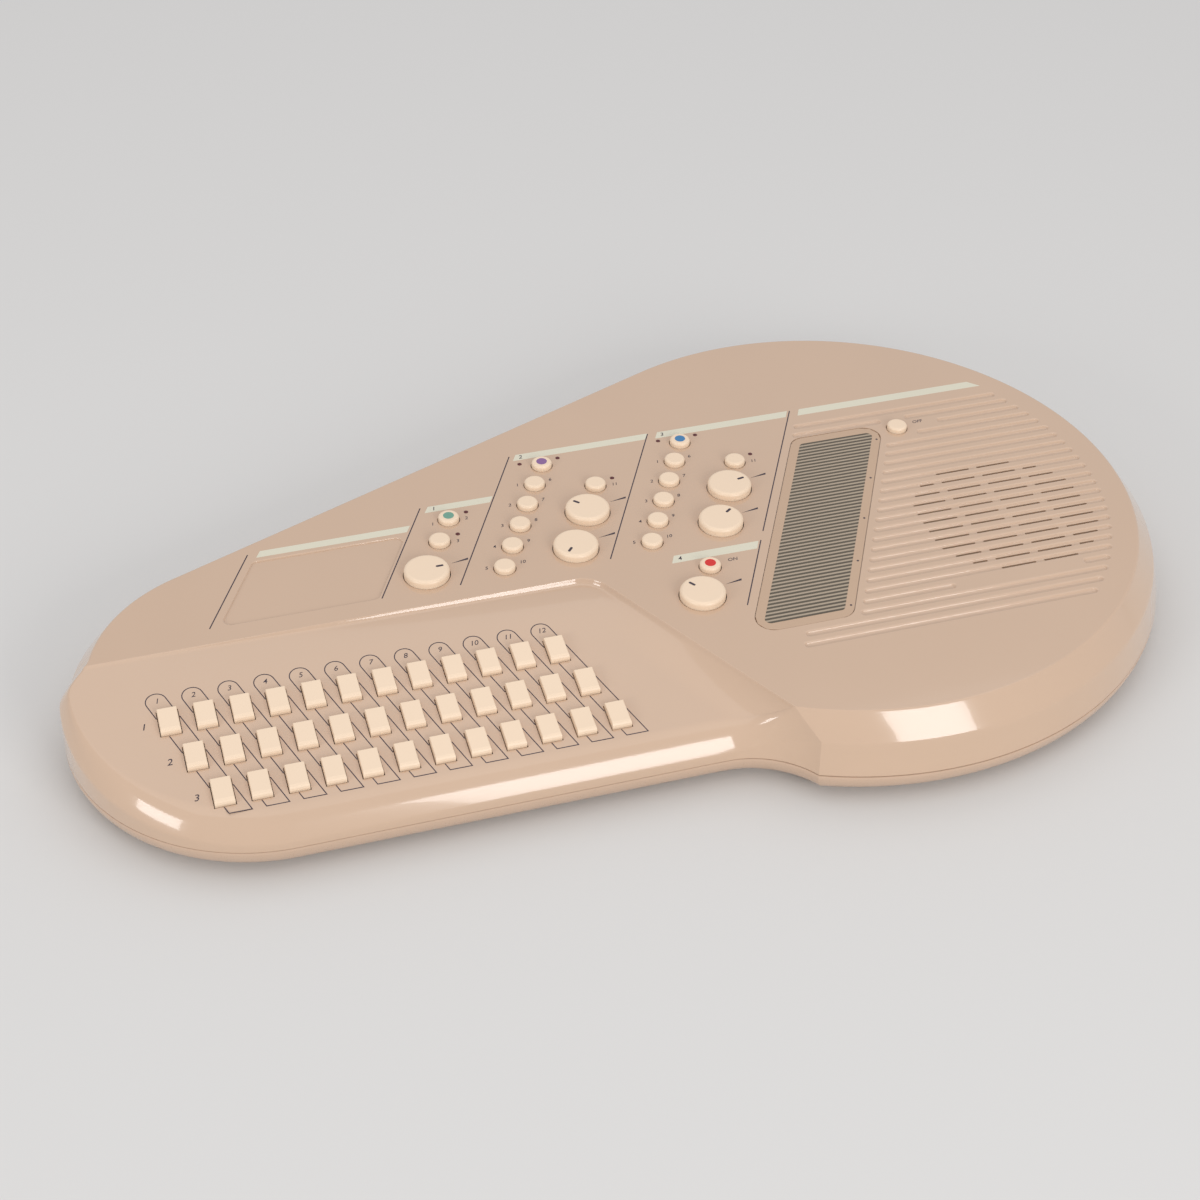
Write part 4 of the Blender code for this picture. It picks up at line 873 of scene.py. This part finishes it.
# Grooves beside the touch plate, and the speaker's slots along them
FIRST_GROOVE_Y = 116.7
GROOVE_PITCH = 7.745
GROOVE_COUNT = 24
GROOVE_HALF = 1.5
GROOVE_SHOULDER = 1.2
GROOVE_STEPS = [(0.35, 0.03), (0.35, 0.1), (0.3, 0.19), (0.2, 0.25), (0.2, 0.3), (0.3, 0.22), (0.4, 0.1)]
GROOVE_MARGIN = 13.5             # to the round edge of the panel
PLATE_MARGIN = 4.7
GROOVE_LEFTS = {1: 149.5, 2: 145.8, 3: 230.5, 4: 214.8, 23: 91.8, 24: 88.2}
GROOVE_BREAKS = {2: (198.7, 213.6), 21: (179.5, 252.9)}
SLOT_FIELD_RADIUS = 49.3
SLOT_PITCH = 24.25
SLOT_SPAN = (2.2, 22.05)         # of a slot within its pitch
SLOT_HALF = 0.6
SHORTEST_SLOT = 3.0
(plate_x, plate_y), plate_width = PLATE[:2]
groove_lines, slot_lines = [], []
for row in range(1, GROOVE_COUNT + 1):
    y = FIRST_GROOVE_Y - GROOVE_PITCH * (row - 1)
    reach = ROUND_RADIUS - PANEL_INSET - GROOVE_MARGIN
    right = ROUND_CENTRE.x + math.sqrt(reach ** 2 - (y - ROUND_CENTRE.y) ** 2)
    beside_plate = slanted(plate_x + plate_width / 2, plate_y, y - plate_y)[0] + PLATE_MARGIN
    left = GROOVE_LEFTS.get(row, beside_plate)
    spans = [(left, right)]
    if row in GROOVE_BREAKS:
        stop, start = GROOVE_BREAKS[row]
        spans = [(left, stop), (start, right)]
    for start, stop in spans:
        start, stop = start - GROOVE_SHOULDER, stop + GROOVE_SHOULDER
        groove_lines.append(stadium(start, stop, y, GROOVE_HALF + GROOVE_SHOULDER))
    half_span = math.sqrt(max(0.0, SLOT_FIELD_RADIUS ** 2 - (y - SPEAKER.y) ** 2))
    for k in range(-2, 2):
        start = max(SPEAKER.x + k * SLOT_PITCH + SLOT_SPAN[0], SPEAKER.x - half_span)
        stop = min(SPEAKER.x + k * SLOT_PITCH + SLOT_SPAN[1], SPEAKER.x + half_span)
        if stop - start > SHORTEST_SLOT:
            slot_lines.append(stadium(start, stop, y, SLOT_HALF, 4))
hollow_out(groove_lines, GROOVE_STEPS)
combine(top_shell, slabs(slot_lines, CUT_LOW, CUT_HIGH))
smooth(top_shell)
put(top_shell, "top_shell", case_plastic, nodes=("upper_housing",))


# Bottom shell

def lower_ring(inset, z):
    """One loop round the bottom shell."""
    corner = corner_point(SEAM_Z, inset)
    points = round_stations(corner, ROUND_RADIUS - inset, z)
    points += [from_centre(TAIL_CENTRE, TAIL_RADIUS - inset, angle, z) for angle in tail_angles(0)]
    points.append(Vector((FOLD_X, NEAR_Y + inset, z)))
    for step in range(RUNGS - 1, 0, -1):
        points.append(waist_point(corner, WAIST_RADIUS + inset, rung_share(step), z))
    return points


# Inset and height of each loop: from the base up the outside, over the rim and down the inside
LOWER_RIM = SEAM_Z - GAP
BELLY_LEVELS = [
    (13.0, BASE_Z), (9.8, BASE_Z + 0.45), (6.8, BASE_Z + 1.5), (4.4, BASE_Z + 3.2), (2.4, BASE_Z + 5.5),
    (1.2, BASE_Z + 7.7), (0.4, BASE_Z + 10.0), (0.1, BASE_Z + 11.5), (0.0, LOWER_RIM - 0.9),
    (0.25, LOWER_RIM - 0.25), (0.9, LOWER_RIM), (WALL, LOWER_RIM), (WALL + 0.4, BASE_Z + 10.0),
    (WALL + 2.4, BASE_Z + 6.5), (13.0, BASE_Z + WALL),
]
shell = bmesh.new()
rings = [[shell.verts.new(point) for point in lower_ring(*level)] for level in BELLY_LEVELS]
for lower, upper in zip(rings, rings[1:]):
    bridge(shell, lower, upper)
shell.faces.new(rings[0])
shell.faces.new(rings[-1])
bottom_shell = from_bmesh(shell, "bottom_shell")
IN_THE_BASE = BASE_Z + WALL / 2
BELOW_THE_BASE = BASE_Z - 2
bay_outside = (BAY_WIDTH + 2 * BAY_WALL, BAY_LENGTH + 2 * BAY_WALL)
combine(bottom_shell, block(BAY_CENTRE, *bay_outside, IN_THE_BASE, BAY_TOP + WALL), "UNION")
bosses = copies(cylinder(BOSS_RADIUS, IN_THE_BASE, LOWER_RIM, 24), CASE_SCREWS)
combine(bottom_shell, joined(bosses), "UNION")
foot = cylinder(FOOT_RADIUS, FLOOR_Z, IN_THE_BASE, 48)
round_rim(foot, FLOOR_Z, 0.9)
combine(bottom_shell, joined(copies(foot, FEET)), "UNION")
combine(bottom_shell, block(BAY_CENTRE, BAY_WIDTH, BAY_LENGTH, BELOW_THE_BASE, BAY_TOP))
bores = copies(cylinder(BORE_RADIUS, BELOW_THE_BASE, BASE_Z + 5, 24), CASE_SCREWS)
combine(bottom_shell, joined(bores))

# The seat of the battery door, with the place of its tab on the near side
SEAT_LEFT, SEAT_RIGHT, SEAT_NEAR, SEAT_FAR = -76.3, 36.3, 33.45, 98.55
TAB_LEFT, TAB_RIGHT, TAB_NEAR = -28.3, -11.7, 23.45
door_seat = [(SEAT_LEFT, SEAT_NEAR), (TAB_LEFT, SEAT_NEAR), (TAB_LEFT, TAB_NEAR), (TAB_RIGHT, TAB_NEAR),
             (TAB_RIGHT, SEAT_NEAR), (SEAT_RIGHT, SEAT_NEAR), (SEAT_RIGHT, SEAT_FAR), (SEAT_LEFT, SEAT_FAR)]
combine(bottom_shell, slabs([door_seat], BELOW_THE_BASE, BASE_Z + 2.3))
smooth(bottom_shell)
put(bottom_shell, "bottom_shell", base_plastic, nodes=("lower_housing",))

# Screw heads in their recesses
HEAD_RADIUS = 2.9
HEAD_Z = BASE_Z + 3.0
DOOR_SCREW_DROP = 3.6            # how much lower the door's screw sits
head = cylinder(HEAD_RADIUS, HEAD_Z, HEAD_Z + 2.0, 32)
round_rim(head, HEAD_Z, 0.8)
for turn in (20, 110):
    slit = block((0, 0), 3.6, 0.7, HEAD_Z - 2.0, HEAD_Z + 1.0)
    slit.data.transform(Matrix.Rotation(math.radians(turn), 4, "Z"))
    combine(head, slit)
heads = copies(head, CASE_SCREWS + [DOOR_SCREW])
heads[-1].data.transform(Matrix.Translation((0, 0, -DOOR_SCREW_DROP)))
screw_heads = joined(heads)
smooth(screw_heads, 30)
put(screw_heads, "screw_heads", steel)

# A print, or a mark's colour, stands this little out of the surface
PRINT_LOW, PRINT_HIGH = -0.02, 0.04
MARK_LOW, MARK_HIGH = -0.02, 0.05

# Knobs, turned with a soft rim, and their pointer marks
POINTER_START, POINTER_END, POINTER_HALF = 4.9, 8.9, 0.7
pointer = rounded_outline([(POINTER_START, -POINTER_HALF), (POINTER_END, -POINTER_HALF),
                           (POINTER_END, POINTER_HALF), (POINTER_START, POINTER_HALF)], 0.65, 6)
for name, spot in KNOBS.items():
    knob = cylinder(KNOB_RADIUS, KNOB_FOOT, KNOB_TOP, 96)
    round_rim(knob, KNOB_TOP, 2.0, 8)
    knob = joined([knob, cylinder(SPINDLE_RADIUS, SPINDLE_FOOT, KNOB_FOOT + 0.1, 32)])
    knob.data.transform(Matrix.Translation((*spot, 0)))
    smooth(knob)
    put(knob, name.replace("_knob", "_cap"), ivory_plastic, name, (name,))
    mark = slabs([pointer], KNOB_TOP + MARK_LOW, KNOB_TOP + MARK_HIGH)
    aim = Matrix.Rotation(math.radians(POINTERS[name]), 4, "Z")
    mark.data.transform(Matrix.Translation((*spot, 0)) @ aim)
    put(mark, name.replace("_knob", "_mark"), ink, name)

# Push button caps with the flange that keeps them in, and the strip that joins the caps of a group
DOT_RADIUS = 2.9
DOTS = {"chord_mode_buttons": (1, dot_green), "rhythm_buttons": (5, dot_purple),
        "voice_buttons": (5, dot_blue), "power_button": (0, dot_red)}
for name, spots in BUTTONS.items():
    cap = cylinder(BUTTON_RADIUS + FLANGE_WIDTH, FLANGE_FOOT, FLANGE_TOP, 48)
    only_faces_at(cap, FLANGE_TOP)
    bpy.ops.mesh.inset(thickness=FLANGE_WIDTH)
    bpy.ops.mesh.extrude_region_move(TRANSFORM_OT_translate={"value": (0, 0, BUTTON_TOP - FLANGE_TOP)})
    bpy.ops.mesh.bevel(offset=1.5, segments=6, affect="EDGES")
    done()
    caps = copies(cap, spots)
    stops = [spots[0], spots[5], spots[6]] if len(spots) > 2 else spots
    for start, stop in zip(stops, stops[1:]):
        start, stop = Vector(start), Vector(stop)
        bar = block((0, 0), (stop - start).length + STRIP_WIDTH, STRIP_WIDTH, STRIP_LOW, STRIP_HIGH)
        middle, lean = (start + stop) / 2, math.atan2(stop.y - start.y, stop.x - start.x)
        bar.data.transform(Matrix.Translation((*middle, 0)) @ Matrix.Rotation(lean, 4, "Z"))
        caps.append(bar)
    caps = joined(caps)
    smooth(caps)
    put(caps, name.replace("buttons", "caps").replace("button", "cap"), ivory_plastic, name, (name,))
    if name in DOTS:
        which, paint = DOTS[name]
        dot = cylinder(DOT_RADIUS, BUTTON_TOP + MARK_LOW, BUTTON_TOP + MARK_HIGH, 40, spots[which])
        put(dot, name.split("_button")[0] + "_dot", paint, name)

# Small lamps beside the buttons
LAMP_RADIUS = 1.25
LAMP_TOP = 0.25
LAMP_PLACES = [(-47.7, 90.1), (-56.5, 72.7), (-8.9, 124.2), (12.8, 124.2), (36.4, 98.3),
               (71.3, 124.6), (93.1, 124.6), (116.7, 99.0)]
lamp = cylinder(LAMP_RADIUS, -0.5, LAMP_TOP, 24)
round_rim(lamp, LAMP_TOP, 0.35)
lamps = joined(copies(lamp, LAMP_PLACES))
smooth(lamps)
put(lamps, "indicator_lamps", lamp_red)

# Lines between the groups, and the stripes behind the headings
dividers = [((-165.8, 85), (-193.8, 31.3)), ((-70.6, 99.8), (-106.2, 31.3)), ((-12.7, 132.4), (-65.3, 31)),
            ((67.7, 132.7), (14.9, 30.6)), ((152.6, 132.5), (99.6, 31.4)), ((95.9, 24.4), (70.9, -24.2))]
put(ribbons(dividers, 0.6, PRINT_LOW, PRINT_HIGH), "divider_lines", ink)
STRIPE_LEAN = 2.8


def stripe(low, high, left, right):
    side = STRIPE_LEAN / 2
    return [(left - side, low), (right - side, low), (right + side, high), (left + side, high)]


stripes = [stripe(81.5, 86.5, -160.5, -80.5), stripe(95.0, 100.0, -67.8, -31.8),
           stripe(128.0, 133.2, -10.3, 66.2), stripe(127.3, 132.8, 71.9, 149.8),
           stripe(18.2, 24.1, 46.0, 93.0),
           [(155.4, 126.9), (268.3, 126.9), (262.5, 132.7), (158.3, 132.7)]]
put(slabs(stripes, PRINT_LOW, PRINT_HIGH), "heading_stripes", pale_ink)

# Outlines that tie the three keys of a chord column together, broken at the keys and beside the first row
CHORD_TILT = Matrix(((1, 0, 0, 0), (0, 1, 0, 0), (0, math.tan(CHORD_SLOPE), 1, plane_z(0.0)), (0, 0, 0, 1)))
PRINT_MARGIN = 0.15
PILL_LEFT = -204.1
PILL_RIGHT = -193.3
PILL_LEAN = 0.375
PILL_NEAR_Y = -84.4
PILL_BREAK = (-27.5, -24.5)
PILL_END = (-226.5, -10.2)
PILL_ROUND = 5.08
half_width = KEY_WIDTH / 2 + CLEARANCE + PRINT_MARGIN
half_depth = KEY_DEPTH / 2 + CLEARANCE + PRINT_MARGIN
key_gaps = []
for x, y in KEY_PLACES:
    middle = CHORD_LINE.x + y * math.cos(CHORD_SLOPE)
    key_gaps.append((x - half_width, middle - half_depth, x + half_width, middle + half_depth))
pills = []
for k in range(KEY_COLUMNS):
    left, right = PILL_LEFT + KEY_PITCH * k, PILL_RIGHT + KEY_PITCH * k
    end = Vector((PILL_END[0] + KEY_PITCH * k, PILL_END[1]))
    first, last = [(left - PILL_LEAN * (y - PILL_NEAR_Y), y) for y in PILL_BREAK]
    pill = [first, (left, PILL_NEAR_Y), (right, PILL_NEAR_Y)]
    for degrees in range(21, 202, 12):
        angle = math.radians(degrees)
        pill.append(tuple(end + PILL_ROUND * Vector((math.cos(angle), math.sin(angle)))))
    pills += outside(pill + [last], key_gaps)
put(ribbons(pills, 0.5, PRINT_LOW, PRINT_HIGH), "key_outlines", ink, place=CHORD_TILT)

# Plain numbers and marks
columns = [(str(k + 1), -226.2 + KEY_PITCH * k, -9.9, "CENTER") for k in range(KEY_COLUMNS)]
put(writing(columns, 3.2, PRINT_LOW, PRINT_HIGH, 0.012), "column_numbers", ink, place=CHORD_TILT)
rows = [(str(row + 1), -233.4 + KEY_PITCH / 2 * row, -24.6 - 23.8 * row, "RIGHT")
        for row in range(KEY_ROWS)]
put(writing(rows, 4.0, PRINT_LOW, PRINT_HIGH, 0.02), "row_numbers", ink, place=CHORD_TILT)

labels = []
for group in ("rhythm_buttons", "voice_buttons"):
    for k, (x, y) in enumerate(BUTTONS[group][4::-1]):
        labels += [(str(k + 1), x - 8.4, y + 2.6, "RIGHT"), (str(k + 6), x + 8.4, y + 2.8, "LEFT")]
    x, y = BUTTONS[group][6]
    labels.append(("11", x + 8.6, y - 1.2, "LEFT"))
(hold_x, hold_y), (mode_x, mode_y) = BUTTONS["chord_mode_buttons"]
labels += [("1", mode_x - 8.4, mode_y - 1.4, "RIGHT"), ("2", mode_x + 8.4, mode_y - 1.0, "LEFT"),
           ("3", hold_x + 8.4, hold_y - 1.4, "LEFT")]
for name, word in {"power_button": "ON", "prompt_button": "OFF"}.items():
    (x, y), = BUTTONS[name]
    labels.append((word, x + 10.5, y + 3.0, "LEFT"))
put(writing(labels, 2.5, PRINT_LOW, PRINT_HIGH, 0.02), "button_numbers", ink)
HEADING_PLACES = [(-65.0, 97.4), (-8.0, 130.5), (74.0, 130.0), (48.6, 21.1)]
headings = [(str(k + 1), x, y, "LEFT") for k, (x, y) in enumerate(HEADING_PLACES)]
put(writing(headings, 3.1, PRINT_HIGH - 0.01, PRINT_HIGH + 0.04, 0.02), "heading_numbers", ink)
wedges = [[(x + 14.2, y + 5.6), (x + 23.4, y + 6.4), (x + 23.8, y + 7.9)] for x, y in KNOBS.values()]
put(slabs(wedges, PRINT_LOW, PRINT_HIGH), "knob_wedges", ink)

# The touch plate's field, its lines and its dots
FIELD = ((95.4, -41.0), 43.8, 141.4)
FIELD_CORNER = 3.0
LINE_COUNT = 53
FIRST_LINE_Y = -40.3
LINE_PITCH = 2.694
LINE_HALF = 0.68
LINE_REACH = 25                  # to either side, before the lines are cut to the field
field_outline = leaning_panel(*FIELD, FIELD_CORNER)
field = slabs([field_outline], PLATE_TOP - 0.03, PLATE_TOP + 0.03)
put(field, "touch_field", plate_field)
strokes = []
for k in range(LINE_COUNT):
    y = FIRST_LINE_Y + LINE_PITCH * k
    x = slanted(*FIELD[0], y - FIELD[0][1])[0]
    left, right, near, far = x - LINE_REACH, x + LINE_REACH, y - LINE_HALF, y + LINE_HALF
    strokes.append([(left, near), (right, near), (right, far), (left, far)])
lines = slabs(strokes, PLATE_TOP + 0.01, PLATE_TOP + 0.07)
combine(lines, slabs([field_outline], PLATE_TOP - 1, PLATE_TOP + 1), "INTERSECT")
put(lines, "touch_lines", plate_line)
TOUCH_DOTS = [(190.0, 93.3), (172.9, 60.3), (155.8, 27.5), (138.7, -5.7), (121.7, -38.5)]
dot = cylinder(0.62, PLATE_TOP - 0.03, PLATE_TOP + 0.05, 20)
put(joined(copies(dot, TOUCH_DOTS)), "touch_dots", ink)

# The parts that keep their own solid: finish and softened edges
KEY_SOFTENING = 0.35
PLATE_SOFTENING = 0.3
SAME_PLACE = 0.01
FINISHES = {
    "battery_door": base_plastic, "speaker_basket": basket_steel, "speaker_cone": cone_paper,
    "main_board": board_green, "chord_key_board": board_green, "key_dome_sheet": dome_rubber,
    "battery_pack": cell_wrap, "rear_sockets": black_plastic, "touch_plate": plate_tan,
}
for name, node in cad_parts.items():
    finish = FINISHES.get(name)
    if name.startswith("chord_key_") and not finish:
        finish = ivory_plastic
    if not finish:
        continue
    node.data.materials.clear()
    node.data.materials.append(finish)
    if finish is ivory_plastic or name in ("battery_door", "touch_plate"):
        weld = node.modifiers.new("weld", "WELD")
        weld.merge_threshold = SAME_PLACE * MM
        bevel = node.modifiers.new("soft_edges", "BEVEL")
        bevel.width = (KEY_SOFTENING if finish is ivory_plastic else PLATE_SOFTENING) * MM
        bevel.segments = 3
        bevel.limit_method = "ANGLE"
        bevel.angle_limit = math.radians(30)
        bevel.harden_normals = True

# Floor, lamps and camera
deselect()
bpy.ops.mesh.primitive_plane_add(size=12, location=(0, 0, 0))
floor = bpy.context.object
floor.name = "floor"
paper, nodes, links, shader = tree_of("pale_floor")
shader.inputs["Base Color"].default_value = (0.71, 0.70, 0.68, 1)
shader.inputs["Roughness"].default_value = 0.8
shader.inputs["Specular IOR Level"].default_value = 0.0
floor.data.materials.append(paper)


def softbox(name, toward, distance, width, height, watts):
    """A white rectangular lamp that faces the object from a direction."""
    data = bpy.data.lights.new(name, "AREA")
    data.shape = "RECTANGLE"
    data.size, data.size_y = width, height
    data.energy = watts
    lamp = bpy.data.objects.new(name, data)
    way = Vector(toward).normalized()
    lamp.location = way * distance
    lamp.rotation_euler = way.to_track_quat("Z", "Y").to_euler()
    bpy.context.scene.collection.objects.link(lamp)


softbox("softbox_right", (0.2747, -0.8713, 0.4067), 2.4, 0.98, 0.93, 17)
softbox("softbox_left", (-0.8323, -0.4425, 0.3338), 2.4, 0.82, 0.63, 9.5)
softbox("ceiling", (0.0, 0.1, 1.0), 2.2, 3.2, 3.2, 14)

world = bpy.data.worlds.new("studio")
bpy.context.scene.world = world
world.use_nodes = True
backdrop = world.node_tree.nodes["Background"]
backdrop.inputs["Color"].default_value = (0.97, 0.97, 1.0, 1)
backdrop.inputs["Strength"].default_value = 0.65

AZIMUTH, ELEVATION, ROLL = math.radians(-17.357), math.radians(39.609), math.radians(0.993)
CAMERA_DISTANCE = 1090.0
SENSOR_WIDTH = 36.0
FOCAL_PIXELS = 2143.75
PHOTO_PIXELS = 1200
look = Vector((-math.sin(AZIMUTH) * math.cos(ELEVATION), math.cos(AZIMUTH) * math.cos(ELEVATION),
               -math.sin(ELEVATION)))
sideways = Vector((math.cos(AZIMUTH), math.sin(AZIMUTH), 0))
above = sideways.cross(look)
image_x = sideways * math.cos(ROLL) + above * math.sin(ROLL)
image_y = above * math.cos(ROLL) - sideways * math.sin(ROLL)
lens = bpy.data.cameras.new("camera")
lens.sensor_width = SENSOR_WIDTH
lens.lens = SENSOR_WIDTH * FOCAL_PIXELS / PHOTO_PIXELS
lens.clip_end = 30
camera = bpy.data.objects.new("camera", lens)
turn = Matrix((image_x, image_y, -look)).transposed()
camera.matrix_world = Matrix.Translation(PANEL_TO_STAND @ (look * -CAMERA_DISTANCE)) @ turn.to_4x4()
bpy.context.scene.collection.objects.link(camera)
bpy.context.scene.camera = camera
bpy.context.scene.view_settings.view_transform = "Standard"
